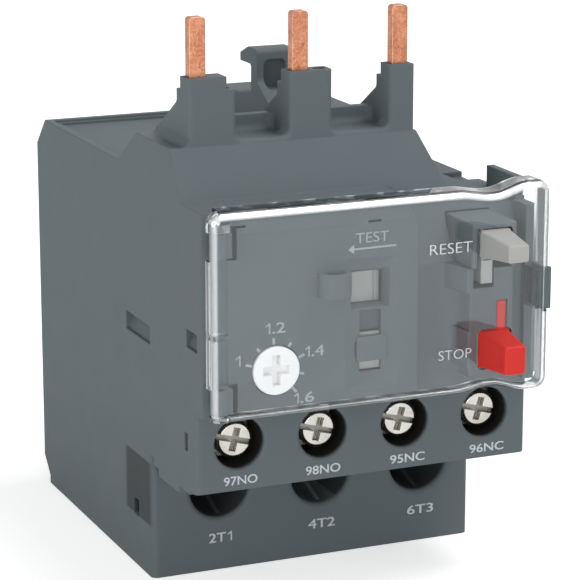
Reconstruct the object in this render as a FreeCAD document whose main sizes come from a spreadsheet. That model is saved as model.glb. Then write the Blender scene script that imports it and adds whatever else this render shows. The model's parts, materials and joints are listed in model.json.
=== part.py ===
"""Thermal overload relay, 45 mm wide, for mounting under a contactor.

Lengths are in millimetres. While a piece is drawn, x runs from the left side face, y from the front panel
towards the back and z from the base upwards. Every piece is then placed in the part's own frame, which has
its origin at the middle of the base.
"""
import FreeCAD, Part
import math
import os
import Sketcher
from types import SimpleNamespace

SIZES = {
    # housing envelope
    "depth": 62.8,
    "body_top": 48.9,
    "foot_step": 1.2,
    "foot_bevel": 2.4,
    # front panel and the slope above it
    "panel_width": 28.4,
    "panel_top": 51.4,
    "panel_foot": 26.3,
    "panel_thick": 8.0,
    "panel_corner": 1.8,
    "panel_round": 0.6,
    "panel_step": 48.45,
    "panel_step_deep": 0.05,
    "ledge_depth": 6.8,
    "slope_run": 3.0,
    "deck_top": 57.4,
    "slope_foot": 42.1,
    "notch_tall": 0.8,
    "bay_back": 2.1,
    # left tray and notch
    "notch_front": 21.8,
    "notch_back": 29.1,
    "tray_rim": 52.7,
    "tray_floor": 52.0,
    "tray_wall": 1.76,
    "tray_wide": 22.7,
    "tray_back": 57.4,
    "tray_bevel": 3.8,
    "tray_lip": 0.5,
    "platform_end": 51.1,
    "deck_wide": 32.5,
    "deck_flare": 3.5,
    # lower block and auxiliary block
    "lower_front": 18.2,
    "lower_round": 0.84,
    "aux_front": 2.67,
    "aux_foot": 16.0,
    "aux_round": 0.75,
    "aux_back": 20.0,
    "stair_low": 14.65,
    "stair_mid": 15.6,
    "stair_high": 16.6,
    # power terminals
    "pole_first": 9.4,
    "pole_pitch": 14.1,
    "pole_margin": 7.4,
    "power_height": 11.1,
    "power_well": 4.1,
    "power_rim": 0.75,
    "guide_in": 1.8,
    "guide_rise": 2.2,
    "guide_thick": 0.6,
    "power_chamber_front": 27.0,
    "power_chamber_back": 37.2,
    "power_chamber_half": 4.2,
    "power_chamber_rise": 6.2,
    "power_entry_front": 30.9,
    "power_entry_back": 35.3,
    "power_entry_half": 3.4,
    "power_head": 3.2,
    "power_head_thick": 2.4,
    "power_shank": 2.0,
    "power_clamp_thick": 1.0,
    # auxiliary terminals
    "aux_first": 5.82,
    "aux_height": 21.95,
    "aux_well": 3.25,
    "aux_rim": 0.35,
    "aux_chamber_front": 7.4,
    "aux_chamber_back": 15.0,
    "aux_chamber_half": 3.3,
    "aux_entry_front": 8.6,
    "aux_entry_back": 13.0,
    "aux_entry_half": 2.6,
    "aux_head": 2.4,
    "aux_head_front": 4.33,
    "aux_head_thick": 2.0,
    "aux_shank": 1.25,
    "aux_clamp_thick": 1.0,
    "screw_slot": 0.7,
    "screw_cross": 0.9,
    "screw_recess": 0.9,
    "screw_bevel": 0.4,
    # tower with the blade shrouds
    "tower_front": 9.8,
    "tower_left": 2.3,
    "tower_floor": 57.95,
    "shroud_top": 65.75,
    "shroud_step": 64.1,
    "shroud_depth": 2.8,
    "shroud_wall": 1.1,
    "shroud_round": 0.6,
    "shroud_lobe": 1.3,
    "shroud_slot_wide": 1.7,
    "shroud_slot_in": 0.4,
    "shroud_slot_deep": 1.0,
    "gap_round": 0.9,
    "gusset_foot": 22.0,
    "gusset_shoulder": 13.8,
    "gusset_break": 62.5,
    "crosswall_front": 15.3,
    "crosswall_thick": 1.4,
    "crosswall_top": 59.9,
    # blades
    "blade_first": 3.8,
    "blade_pitch": 13.38,
    "blade_wide": 2.05,
    "blade_thick": 1.4,
    "blade_front": 10.6,
    "blade_top": 73.0,
    "blade_round": 0.45,
    "bus_bottom": 43.9,
    "bus_thick": 1.2,
    "bus_turn": 19.0,
    "bus_join": 38.0,
    # mounting hook
    "hook_left": 22.75,
    "hook_wide": 5.2,
    "hook_front": 34.0,
    "hook_cheek": 38.0,
    "hook_back": 40.0,
    "hook_tip": 43.75,
    "hook_top": 64.0,
    "hook_lip": 61.8,
    "hook_nose": 62.9,
    "hook_cheek_wall": 1.0,
    # right edge of the bay
    "side_wall": 1.5,
    "side_front": 1.1,
    "side_top": 48.7,
    "funnel_wide": 3.0,
    "funnel_front": 16.6,
    "funnel_back": 21.5,
    "funnel_deep": 0.7,
    "vent_front": 18.1,
    "vent_long": 8.9,
    "vent_low": 31.1,
    "vent_tall": 2.4,
    "peep_front": 1.7,
    "peep_long": 3.7,
    "peep_low": 34.1,
    "peep_tall": 2.3,
    "aux_slit_front": 5.15,
    "aux_slit_long": 1.1,
    "aux_slit_low": 20.9,
    "aux_slit_tall": 2.3,
    "base_slit_front": 23.0,
    "base_slit_long": 1.7,
    "base_slit_low": 6.8,
    "base_slit_tall": 2.25,
    "window_sill": 0.5,
    "window_reach": 1.5,
    "tab_front": 4.4,
    "tab_back": 12.6,
    "tab_top": 51.5,
    "tab_thick": 1.0,
    "catch_front": -2.6,
    "catch_low": 36.15,
    "catch_high": 41.4,
    "catch_proud": 0.3,
    "catch_thick": 0.95,
    # column that holds the two push buttons
    "column_inset": 5.0,
    "column_wide": 5.9,
    "column_front": -2.5,
    "column_foot": 28.5,
    "column_round": 0.3,
    "column_sweep": 2.6,
    "block_rear": 1.6,
    "block_proud": 0.4,
    "block_below": 1.1,
    # transparent cover
    "cover_front": -3.2,
    "cover_wall": 0.5,
    "cover_round": 1.3,
    "cover_corner": 1.6,
    "hinge_in": 1.6,
    "cover_dip": 0.55,
    "cover_flare": 0.5,
    "cover_bend": 5.0,
    "dip_inset": 7.8,
    "dip_half": 0.9,
    "dip_run": 3.2,
    "clip_inset": 1.5,
    "clip_wall": 0.45,
    "clip_reach": 0.5,
    "rib_low": 36.6,
    "rib_tall": 0.7,
    "cover_top": 52.0,
    "cover_foot": 26.4,
    "cover_left_end": -1.2,
    "cover_right_end": 0.9,
    "cover_top_end": 0.6,
    "cover_foot_end": -0.2,
    "hole_gap": 0.3,
    "hole_round": 0.6,
    "knuckle_upper": 2.6,
    "knuckle_round": 1.2,
    "knuckle_lower": 1.0,
    "ear_tall": 3.0,
    "ear_round": 0.9,
    "ear_gap": 0.2,
    "ear_web": 1.4,
    "hinge_pin": 0.45,
    "hinge_rebate": 0.3,
    "hinge_rebate_wide": 3.2,
    "pocket_wide": 1.2,
    "pocket_deep": 1.5,
    "pocket_below": 0.8,
    # reset button and its hood
    "reset_inset": 9.65,
    "reset_root_wide": 3.85,
    "reset_tip_wide": 2.7,
    "reset_low": 43.55,
    "reset_high": 46.9,
    "reset_tip_low": 44.4,
    "reset_tip_high": 46.55,
    "reset_tip": -10.2,
    "reset_travel": 2.5,
    "reset_leg_low": 40.2,
    "reset_leg_wide": 1.5,
    "reset_leg_in": 0.25,
    "hood_inset": 4.8,
    "hood_wide": 5.9,
    "hood_low": 42.2,
    "hood_high": 47.7,
    "hood_front": -2.6,
    "hood_wall": 0.6,
    "hood_round": 0.3,
    "hood_line": 0.12,
    "hood_root": 0.6,
    # stop button
    "stop_inset": 9.7,
    "stop_root_wide": 4.0,
    "stop_tip_wide": 2.8,
    "stop_low": 29.75,
    "stop_high": 34.2,
    "stop_tip_low": 30.4,
    "stop_tip_high": 33.9,
    "stop_tip": -9.8,
    "stop_travel": 2.5,
    "stop_rib_in": 2.6,
    "stop_rib_wide": 1.2,
    "stop_rib_top": 37.8,
    "button_round": 0.35,
    "shank_back": 11.0,
    "spring_seat": 17.0,
    "spring_seat_thick": 1.5,
    "spring_round": 1.3,
    "spring_wire": 0.25,
    "spring_turns": 4.0,
    # dial
    "dial_across": 9.35,
    "dial_height": 31.55,
    "dial_round": 3.0,
    "dial_front": -0.3,
    "dial_thick": 1.6,
    "dial_shaft": 1.2,
    "dial_slot": 1.0,
    "dial_recess": 1.1,
    "cam_round": 2.0,
    "cam_throw": 1.0,
    "cam_thick": 2.0,
    # test slide, flag and the scoop that they show in
    "scoop_left": 18.5,
    "scoop_right": 25.45,
    "scoop_low": 27.75,
    "scoop_high": 44.3,
    "scoop_deep": 0.5,
    "scoop_end": 0.95,
    "window_left": 19.85,
    "frame_left": 19.2,
    "frame_right": 24.6,
    "frame_low": 37.75,
    "frame_high": 43.0,
    "frame_deep": 1.45,
    "window_right": 24.0,
    "window_low": 38.4,
    "window_high": 42.3,
    "slide_front": 2.0,
    "slide_thick": 1.4,
    "slide_left": 18.7,
    "slide_wide": 5.1,
    "slide_groove": 0.15,
    "test_travel": 2.0,
    "flag_left": 20.6,
    "flag_right": 23.45,
    "flag_low": 30.0,
    "flag_high": 37.65,
    "flag_rest": 34.75,
    "flag_front": 1.0,
    "flag_thick": 1.0,
    "flag_travel": 1.3,
    "bridge_left": 20.1,
    "bridge_right": 24.1,
    "bridge_low": 31.35,
    "bridge_high": 34.45,
    "slit_left": 21.5,
    "slit_wide": 1.7,
    "slit_low": 48.6,
    "slit_tall": 0.3,
    "slit_deep": 1.0,
    "bridge_thick": 0.75,
    # sealing lug
    "lug_left": 14.7,
    "lug_wide": 4.3,
    "lug_low": 40.0,
    "lug_tall": 3.0,
    "lug_proud": 2.3,
    "lug_wall": 0.8,
    "lug_round": 1.7,
    # cavity behind the panel
    "side_skin": 1.8,
    "top_skin": 2.0,
    "cavity_foot": 28.0,
    "cavity_step": 19.0,
    "cavity_low": 4.6,
    "cavity_low_front": 38.6,
    "back_plate": 2.3,
    "spigot_deep": 2.0,
    "spigot_wall": 1.2,
    "back_lip": 1.0,
    # bimetals and heaters
    "bimetal_front": 42.0,
    "bimetal_wide": 3.5,
    "bimetal_thick": 0.8,
    "bimetal_top": 43.2,
    "foot_top": 21.2,
    "foot_thick": 1.2,
    "heater_half": 1.6,
    "heater_front": 41.0,
    "heater_back": 47.5,
    "heater_strip": 0.6,
    "heater_first": 23.0,
    "heater_turn_tall": 1.2,
    "heater_pitch": 2.8,
    # differential slide, rocker and contacts
    "bar_low": 41.1,
    "bar_thick": 1.4,
    "bar_left": 3.5,
    "bar_inset": 4.8,
    "bar_front": 41.15,
    "bar_back": 46.5,
    "bar_travel": 2.0,
    "finger_across": 33.05,
    "finger_back": 40.2,
    "finger_round": 0.6,
    "lever_across": 34.5,
    "lever_back": 34.0,
    "lever_hub": 1.8,
    "lever_pin": 0.8,
    "lever_clear": 0.1,
    "lever_arm_tall": 3.0,
    "pin_sunk": 5.0,
    "lever_top": 43.0,
    "lever_reach": 6.8,
    "lever_half": 0.8,
    "lever_short": 4.6,
    "lever_short_half": 0.9,
    "carrier_front": 24.9,
    "carrier_thick": 2.1,
    "carrier_tall": 1.3,
    "carrier_lift": 1.1,
    "post_half": 0.9,
    "post_thick": 1.2,
    "bridge_drop": 2.5,
    "carrier_travel": 1.5,
    "bridge_contact_thick": 0.6,
    "nc_leg_back": 24.0,
    "no_leg_front": 27.9,
    "leg_thick": 1.0,
    "leg_half": 1.5,
    "leg_rise": 5.95,
    # fits
    "slide_gap": 0.15,
    "turn_gap": 0.05,
    "seat_gap": 0.1,
}

POLES = range(3)
AUXILIARIES = range(4)
NODES = []

doc = FreeCAD.newDocument("thermal_overload_relay")
sheet = doc.addObject("Spreadsheet::Sheet", "Sizes")
for row, (alias, number) in enumerate(SIZES.items(), 1):
    sheet.set("A%d" % row, alias)
    sheet.set("B%d" % row, str(number))
    sheet.setAlias("B%d" % row, alias)
doc.recompute()


class Size:
    """A length worked out on the sheet: its present value and the expression that gives it."""

    def __init__(self, value, text):
        self.value = value
        self.text = text

    def joined(self, sign, other, value):
        return Size(value, "(%s %s %s)" % (self.text, sign, other.text))

    def __add__(self, other):
        other = as_size(other)
        return self.joined("+", other, self.value + other.value)

    def __sub__(self, other):
        other = as_size(other)
        return self.joined("-", other, self.value - other.value)

    def __mul__(self, other):
        other = as_size(other)
        return self.joined("*", other, self.value * other.value)

    def __truediv__(self, other):
        other = as_size(other)
        return self.joined("/", other, self.value / other.value)

    def __radd__(self, other):
        return as_size(other) + self

    def __rsub__(self, other):
        return as_size(other) - self

    def __rmul__(self, other):
        return as_size(other) * self

    def __neg__(self):
        return as_size(0) - self


def as_size(number):
    if isinstance(number, Size):
        return number
    return Size(float(number), "(%r)" % float(number))


S = SimpleNamespace(**{name: Size(value, "Sizes." + name) for name, value in SIZES.items()})

# the poles set the width, and the four auxiliary terminals share it out evenly
WIDTH = S.pole_first + 2 * S.pole_pitch + S.pole_margin
AUX_PITCH = (WIDTH - 2 * S.aux_first) / 3

# the bay's pieces stand off from the right side
COLUMN_RIGHT = WIDTH - S.column_inset
COLUMN_LEFT = COLUMN_RIGHT - S.column_wide
HOOD_RIGHT = WIDTH - S.hood_inset
HOOD_LEFT = HOOD_RIGHT - S.hood_wide
RESET_LEFT = WIDTH - S.reset_inset
STOP_LEFT = WIDTH - S.stop_inset
BAR_RIGHT = WIDTH - S.bar_inset
RESET_LEG_LEFT = RESET_LEFT + S.reset_leg_in
STOP_RIB_LEFT = STOP_LEFT + S.stop_rib_in

# the hinge's ears stand a knuckle's height in from the ends of the cover
EARS = (S.cover_foot + S.knuckle_lower, S.cover_top - S.knuckle_upper - S.ear_tall)

# how each drawing plane lies: its rotation, the direction it is extruded in, and that direction's letter
PLANES = {
    "xy": (FreeCAD.Rotation(), FreeCAD.Vector(0, 0, 1), "z"),
    "xz": (FreeCAD.Rotation(FreeCAD.Vector(1, 0, 0), 90), FreeCAD.Vector(0, 1, 0), "y"),
    "yz": (FreeCAD.Rotation(FreeCAD.Vector(1, 1, 1), 120), FreeCAD.Vector(1, 0, 0), "x"),
}


def bind(thing, name, size):
    thing.setExpression(name, as_size(size).text)


def place(thing, x=None, y=None, z=None):
    for axis, size in (("x", x), ("y", y), ("z", z)):
        if size is not None:
            bind(thing, ".Placement.Base." + axis, size)
    return thing


# ---------------------------------------------------------------- sketches

def rounded_corner(before, corner, after, radius):
    """Where a round of this radius leaves the side before a corner and joins the one after, and its middle."""
    back = (before - corner).normalize()
    on = (after - corner).normalize()
    half = back.getAngle(on) / 2
    reach = radius / math.tan(half)
    middle = corner + (back + on).normalize() * (radius / math.sin(half))
    return corner + back * reach, corner + on * reach, middle


def arc_between(start, end, middle, radius):
    circle = Part.Circle(middle, FreeCAD.Vector(0, 0, 1), radius)
    return Part.ArcOfCircle(circle, circle.parameter(start), circle.parameter(end))


def fix_point(sketch, shape, point, corner):
    for kind, size in zip(("DistanceX", "DistanceY"), corner):
        number = sketch.addConstraint(Sketcher.Constraint(kind, -1, 1, shape, point, as_size(size).value))
        bind(sketch, "Constraints[%d]" % number, size)


def draw(sketch, corners):
    """A closed outline of straight sides; a corner is (u, v), or (u, v, radius) where it is rounded."""
    count = len(corners)
    points = [FreeCAD.Vector(as_size(c[0]).value, as_size(c[1]).value, 0) for c in corners]
    leave = list(points)
    arrive = list(points)
    middle = {}
    for i, corner in enumerate(corners):
        if len(corner) == 3:
            radius = as_size(corner[2]).value
            arrive[i], leave[i], middle[i] = rounded_corner(
                points[i - 1], points[i], points[(i + 1) % count], radius)
    for i in range(count):
        sketch.addGeometry(Part.LineSegment(leave[i], arrive[(i + 1) % count]), False)
    for i, corner in enumerate(corners):
        before = (i - 1) % count
        if i not in middle:
            sketch.addConstraint(Sketcher.Constraint("Coincident", before, 2, i, 1))
            fix_point(sketch, i, 1, corner)
            continue
        side_in = points[i] - points[before]
        side_out = points[(i + 1) % count] - points[i]
        left_turn = side_in.cross(side_out).z > 0
        ends = (arrive[i], leave[i]) if left_turn else (leave[i], arrive[i])
        arc = sketch.addGeometry(arc_between(ends[0], ends[1], middle[i], as_size(corner[2]).value), False)
        sketch.addConstraint(Sketcher.Constraint("Tangent", before, 2, arc, 1 if left_turn else 2))
        sketch.addConstraint(Sketcher.Constraint("Tangent", i, 1, arc, 2 if left_turn else 1))
        number = sketch.addConstraint(Sketcher.Constraint("Radius", arc, as_size(corner[2]).value))
        bind(sketch, "Constraints[%d]" % number, corner[2])
        tip = sketch.addGeometry(Part.Point(points[i]), True)
        sketch.addConstraint(Sketcher.Constraint("PointOnObject", tip, 1, before))
        sketch.addConstraint(Sketcher.Constraint("PointOnObject", tip, 1, i))
        fix_point(sketch, tip, 1, corner)
    return sketch


def rectangle(u, v, radius=None):
    corners = [(u[0], v[0]), (u[1], v[0]), (u[1], v[1]), (u[0], v[1])]
    if radius is None:
        return corners
    return [corner + (radius,) for corner in corners]


def outline(plane, corners, at=0):
    sketch = draw(doc.addObject("Sketcher::SketchObject", "outline"), corners)
    rotation, direction, axis = PLANES[plane]
    sketch.Placement.Rotation = rotation
    bind(sketch, ".Placement.Base." + axis, at)
    return sketch


# ---------------------------------------------------------------- plain solids

def prism(plane, corners, low, high):
    """An outline on a plane, extruded from one height to another along the plane's own direction."""
    low = as_size(low)
    solid = doc.addObject("Part::Extrusion", "prism")
    solid.Base = outline(plane, corners, low)
    solid.DirMode = "Custom"
    solid.Dir = PLANES[plane][1]
    solid.Solid = True
    bind(solid, "LengthFwd", as_size(high) - low)
    return solid


def box(x, y, z):
    solid = doc.addObject("Part::Box", "box")
    for side, (low, high) in zip(("Length", "Width", "Height"), (x, y, z)):
        bind(solid, side, as_size(high) - low)
    return place(solid, x[0], y[0], z[0])


def upright(x, y, radius, low, high):
    """A cylinder along z."""
    solid = doc.addObject("Part::Cylinder", "upright")
    bind(solid, "Radius", radius)
    bind(solid, "Height", as_size(high) - low)
    return place(solid, x, y, low)


def bore(x, z, radius, front, back):
    """A cylinder along y, from front to back."""
    solid = doc.addObject("Part::Cylinder", "bore")
    solid.Placement.Rotation = FreeCAD.Rotation(FreeCAD.Vector(1, 0, 0), -90)
    bind(solid, "Radius", radius)
    bind(solid, "Height", as_size(back) - front)
    return place(solid, x, front, z)


def lathe(corners, x, z):
    """An outline of (radius, y) corners, turned round an axis along y at x, z."""
    solid = doc.addObject("Part::Revolution", "lathe")
    solid.Source = outline("xy", corners)
    solid.Axis = FreeCAD.Vector(0, 1, 0)
    solid.Angle = 360
    solid.Solid = True
    return place(solid, x=x, z=z)


def turned(solid, degrees, x, z):
    """The solid turned about an axis along y at x, z."""
    group = doc.addObject("Part::Compound", "turned")
    group.Links = [solid]
    angle = math.radians(degrees)
    group.Placement.Rotation = FreeCAD.Rotation(FreeCAD.Vector(0, 1, 0), degrees)
    across = x * (1 - math.cos(angle)) - z * math.sin(angle)
    height = z * (1 - math.cos(angle)) + x * math.sin(angle)
    return place(group, x=across, z=height)


def fuse(*solids):
    joined = doc.addObject("Part::MultiFuse", "fuse")
    joined.Shapes = list(solids)
    joined.Refine = True
    return joined


def cut(base, *tools):
    result = doc.addObject("Part::Cut", "cut")
    result.Base = base
    result.Tool = tools[0] if len(tools) == 1 else fuse(*tools)
    result.Refine = True
    return result


def common(first, second):
    result = doc.addObject("Part::Common", "common")
    result.Base = first
    result.Tool = second
    return result


def group(*solids):
    """Separate solids that make up one node."""
    result = doc.addObject("Part::Compound", "group")
    result.Links = list(solids)
    return result


def coil(x, z, front, back):
    """A compression spring along y."""
    helix = doc.addObject("Part::Helix", "helix")
    length = back - front - 2 * (S.spring_wire + S.turn_gap)
    bind(helix, "Radius", S.spring_round)
    bind(helix, "Height", length)
    bind(helix, "Pitch", length / S.spring_turns)
    sweep = doc.addObject("Part::Sweep", "coil")
    sweep.Sections = [outline("xz", rectangle(span(S.spring_round, S.spring_wire), span(as_size(0), S.spring_wire)))]
    sweep.Spine = (helix, ["Edge1"])
    sweep.Solid = True
    sweep.Frenet = True
    sweep.Placement.Rotation = FreeCAD.Rotation(FreeCAD.Vector(1, 0, 0), -90)
    return place(sweep, x, front + S.spring_wire + S.turn_gap, z)


# ---------------------------------------------------------------- bodies made by features

class Body:
    """A PartDesign body built up from pads, pockets and lofts on its own origin planes."""

    def __init__(self):
        self.body = doc.addObject("PartDesign::Body", "Body")

    def sketch(self, plane, corners, at):
        sketch = self.body.newObject("Sketcher::SketchObject", "sketch")
        role = plane.upper() + "_Plane"
        base = next(o for o in self.body.Origin.OriginFeatures if o.Role == role)
        sketch.AttachmentSupport = (base, [""])
        sketch.MapMode = "FlatFace"
        toward = -as_size(at) if plane == "xz" else as_size(at)
        bind(sketch, "AttachmentOffset.Base.z", toward)
        return draw(sketch, corners)

    def pad(self, plane, corners, low, high):
        start = high if plane == "xz" else low
        feature = self.body.newObject("PartDesign::Pad", "pad")
        feature.Profile = self.sketch(plane, corners, start)
        bind(feature, "Length", as_size(high) - low)
        return feature

    def pocket(self, plane, corners, low, high):
        start = high if plane == "xz" else low
        feature = self.body.newObject("PartDesign::Pocket", "pocket")
        feature.Profile = self.sketch(plane, corners, start)
        feature.Reversed = True
        bind(feature, "Length", as_size(high) - low)
        return feature

    def bore(self, x, z, radius, front, back):
        """A round pocket along y."""
        sketch = self.sketch("xz", [], back)
        circle = Part.Circle(FreeCAD.Vector(x.value, z.value, 0), FreeCAD.Vector(0, 0, 1), radius.value)
        sketch.addGeometry(circle, False)
        number = sketch.addConstraint(Sketcher.Constraint("Radius", 0, radius.value))
        bind(sketch, "Constraints[%d]" % number, radius)
        fix_point(sketch, 0, 3, (x, z))
        feature = self.body.newObject("PartDesign::Pocket", "bore")
        feature.Profile = sketch
        feature.Reversed = True
        bind(feature, "Length", as_size(back) - front)
        return feature

    def loft(self, plane, first, first_at, second, second_at):
        feature = self.body.newObject("PartDesign::AdditiveLoft", "loft")
        feature.Profile = self.sketch(plane, first, first_at)
        feature.Sections = [self.sketch(plane, second, second_at)]
        feature.Ruled = True
        return feature

    def fillet(self, chosen, radius):
        """Rounds the edges of the present shape that the test picks."""
        doc.recompute()
        tip = self.body.Tip
        edges = ["Edge%d" % n for n, edge in enumerate(tip.Shape.Edges, 1) if chosen(edge)]
        feature = self.body.newObject("PartDesign::Fillet", "fillet")
        feature.Base = (tip, edges)
        bind(feature, "Radius", radius)
        return feature


def near(value, size):
    return abs(value - as_size(size).value) < 1e-4


def whole_edge_at(edge, axis, size):
    """Whether every end of an edge lies at this distance along an axis."""
    return all(near(getattr(vertex.Point, axis), size) for vertex in edge.Vertexes)


def node(name, thing):
    """Names a finished piece and sets it in the part's frame."""
    thing = thing.body if isinstance(thing, Body) else thing
    if thing.ExpressionEngine and any("Placement" in path for path, _ in thing.ExpressionEngine):
        thing = group(thing)
    thing.Label = name
    bind(thing, ".Placement.Base.x", -(WIDTH + S.catch_proud) / 2)
    bind(thing, ".Placement.Base.y", -(S.depth + S.reset_tip) / 2)
    NODES.append(thing)


def pole(number):
    return S.pole_first + S.pole_pitch * number


def auxiliary(number):
    return S.aux_first + AUX_PITCH * number


def blade(number):
    return S.blade_first + S.blade_pitch * number


def span(middle, half):
    return (middle - half, middle + half)


def grown(pair, gap):
    return (as_size(pair[0]) - gap, as_size(pair[1]) + gap)


# ---------------------------------------------------------------- housing

SLOPE = S.slope_run / (S.deck_top - S.panel_top)
BACK_FOOT = S.depth - S.foot_bevel
RIGHT_WALL = WIDTH - S.side_wall


def slope_at(height):
    """How far back the slope above the panel is at a height."""
    return S.ledge_depth + (height - S.panel_top) * SLOPE


def housing_masses():
    foot = S.slope_foot
    core = prism("yz", [
        (S.bay_back, S.panel_foot),
        (S.bay_back, foot),
        (slope_at(S.body_top), S.body_top),
        (S.depth, S.body_top),
        (S.depth, S.foot_step + S.foot_bevel),
        (BACK_FOOT, S.foot_step),
        (BACK_FOOT, 0),
        (S.lower_front + 2, 0),
        (S.lower_front + 2, S.panel_foot),
    ], 0, WIDTH)
    lower = prism("xy", [
        (0, S.lower_front, S.lower_round),
        (WIDTH, S.lower_front, S.lower_round),
        (WIDTH, S.lower_front + 3),
        (0, S.lower_front + 3),
    ], 0, S.panel_foot)
    auxiliary_side = prism("yz", [
        (S.aux_front, S.aux_foot),
        (S.aux_front + 1.8, S.aux_foot),
        (S.aux_front + 1.8, S.stair_mid),
        (S.aux_front + 5.6, S.stair_mid),
        (S.aux_front + 5.6, S.stair_low),
        (S.lower_front - 2.8, S.stair_low),
        (S.lower_front - 2.8, S.stair_mid),
        (S.lower_front - 1, S.stair_mid),
        (S.lower_front - 1, S.stair_high),
        (S.aux_back, S.stair_high),
        (S.aux_back, S.panel_foot + 1),
        (S.aux_front, S.panel_foot + 1),
    ], 0, WIDTH)
    auxiliary_plan = prism("xy", [
        (0, S.aux_front, S.aux_round),
        (WIDTH, S.aux_front, S.aux_round),
        (WIDTH, S.aux_back),
        (0, S.aux_back),
    ], S.stair_low - 1, S.panel_foot)
    panel_face = prism("xz", [
        (0, S.panel_foot),
        (S.panel_width, S.panel_foot),
        (S.panel_width, S.panel_top - 2 * S.panel_corner),
        (S.panel_width - S.panel_corner, S.panel_top),
        (0, S.panel_top),
    ], 0, S.panel_thick)
    panel_plan = prism("xy", [
        (0, 0, S.panel_round),
        (S.panel_width, 0, S.panel_round / 2),
        (S.panel_width, S.panel_thick),
        (0, S.panel_thick),
    ], S.panel_foot, S.panel_top)
    panel = common(panel_face, panel_plan)
    return [core, lower, common(auxiliary_side, auxiliary_plan), panel] + housing_deck()


def housing_deck():
    """The upper block: slope, deck with its flared right side, and the tray behind the notch."""
    low = S.body_top - 3
    plan = prism("xz", [
        (0, low),
        (S.deck_wide + S.deck_flare, low),
        (S.deck_wide + S.deck_flare, S.body_top),
        (S.deck_wide, S.deck_top),
        (S.deck_wide, S.deck_top + 1),
        (0, S.deck_top + 1),
    ], 0, S.depth)
    tray_side = prism("yz", [
        (slope_at(low), low),
        (slope_at(S.deck_top), S.deck_top),
        (S.notch_front, S.deck_top),
        (S.notch_back, S.tray_rim),
        (S.depth - S.tray_bevel, S.tray_rim),
        (S.depth, S.tray_rim - S.tray_bevel),
        (S.depth, low),
    ], 0, S.tray_wide)
    platform_side = prism("yz", [
        (slope_at(low), low),
        (slope_at(S.deck_top), S.deck_top),
        (S.platform_end, S.deck_top),
        (S.platform_end + 4, S.body_top),
        (S.platform_end + 4, low),
    ], S.tray_wide, S.deck_wide + S.deck_flare)
    return [common(plan, fuse(tray_side, platform_side))]


def shroud_gussets(number):
    """The two gussets that brace a blade's shroud from behind."""
    left, right = SHROUDS[number]
    gusset_outline = [
        (S.tower_front + 1, S.deck_top - 1),
        (S.tower_front + 1, S.shroud_step),
        (S.gusset_shoulder, S.shroud_step),
        (S.gusset_shoulder, S.gusset_break, 0.8),
        (S.gusset_foot, S.deck_top),
        (S.gusset_foot, S.deck_top - 1),
    ]
    return [prism("yz", gusset_outline, left, left + S.shroud_wall),
            prism("yz", gusset_outline, right - S.shroud_wall, right)]


SHROUDS = [
    (S.tower_left, S.tower_left + 4.9),
    (blade(1) - 1.7, blade(1) + 4.0),
    (blade(2) - 1.65, blade(2) + 1.55),
]


def housing_tower():
    """Three shrouds for the blades in one front wall, with round-bottomed gaps between them."""
    (first_left, first_right), (second_left, second_right), (third_left, third_right) = SHROUDS
    step_right = first_right + S.shroud_lobe
    front = Body()
    front.pad("xz", [
        (first_left, S.deck_top - 1),
        (third_right, S.deck_top - 1),
        (third_right, S.shroud_top),
        (third_left, S.shroud_top),
        (third_left, S.tower_floor, S.gap_round),
        (second_right, S.tower_floor, S.gap_round),
        (second_right, S.shroud_top),
        (second_left, S.shroud_top),
        (second_left, S.tower_floor, S.gap_round),
        (step_right, S.tower_floor, S.gap_round),
        (step_right, S.shroud_step),
        (first_right, S.shroud_step),
        (first_right, S.shroud_top),
        (first_left, S.shroud_top),
    ], S.tower_front, S.tower_front + S.shroud_depth)
    front.fillet(lambda edge: whole_edge_at(edge, "y", S.tower_front) and any(
        whole_edge_at(edge, "x", left) for left, right in SHROUDS), S.shroud_round)
    wall_back = S.crosswall_front + S.crosswall_thick
    ramp = S.gap_round
    crosswall = prism("yz", [
        (S.tower_front + 1, S.deck_top - 1),
        (wall_back + ramp, S.deck_top - 1),
        (wall_back + ramp, S.deck_top),
        (wall_back, S.deck_top, ramp * 0.9),
        (wall_back, S.crosswall_top),
        (S.crosswall_front, S.crosswall_top),
        (S.crosswall_front, S.tower_floor, ramp),
        (S.tower_front + 1, S.tower_floor),
    ], first_left, third_right)
    corners = []
    for left, right in ((first_right, second_left), (second_right, third_left)):
        block = box((left, right), (S.crosswall_front - ramp, S.crosswall_front + ramp / 2),
                    (S.tower_floor, S.crosswall_top))
        round_room = prism("xy", [
            (left, S.crosswall_front - 2 * ramp),
            (right, S.crosswall_front - 2 * ramp),
            (right, S.crosswall_front, ramp * 0.95),
            (left, S.crosswall_front, ramp * 0.95),
        ], S.tower_floor - 1, S.crosswall_top + 1)
        corners.append(cut(block, round_room))
    foot = prism("xz", [
        (first_left + 0.5, S.deck_top - 1),
        (first_left - ramp, S.deck_top - 1),
        (first_left - ramp, S.deck_top),
        (first_left, S.deck_top, ramp * 0.95),
        (first_left, S.deck_top + ramp),
        (first_left + 0.5, S.deck_top + ramp),
    ], S.tower_front, S.gusset_foot - ramp)
    gussets = [gusset for number in POLES for gusset in shroud_gussets(number)]
    return [front.body, crosswall, foot] + corners + gussets


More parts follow.
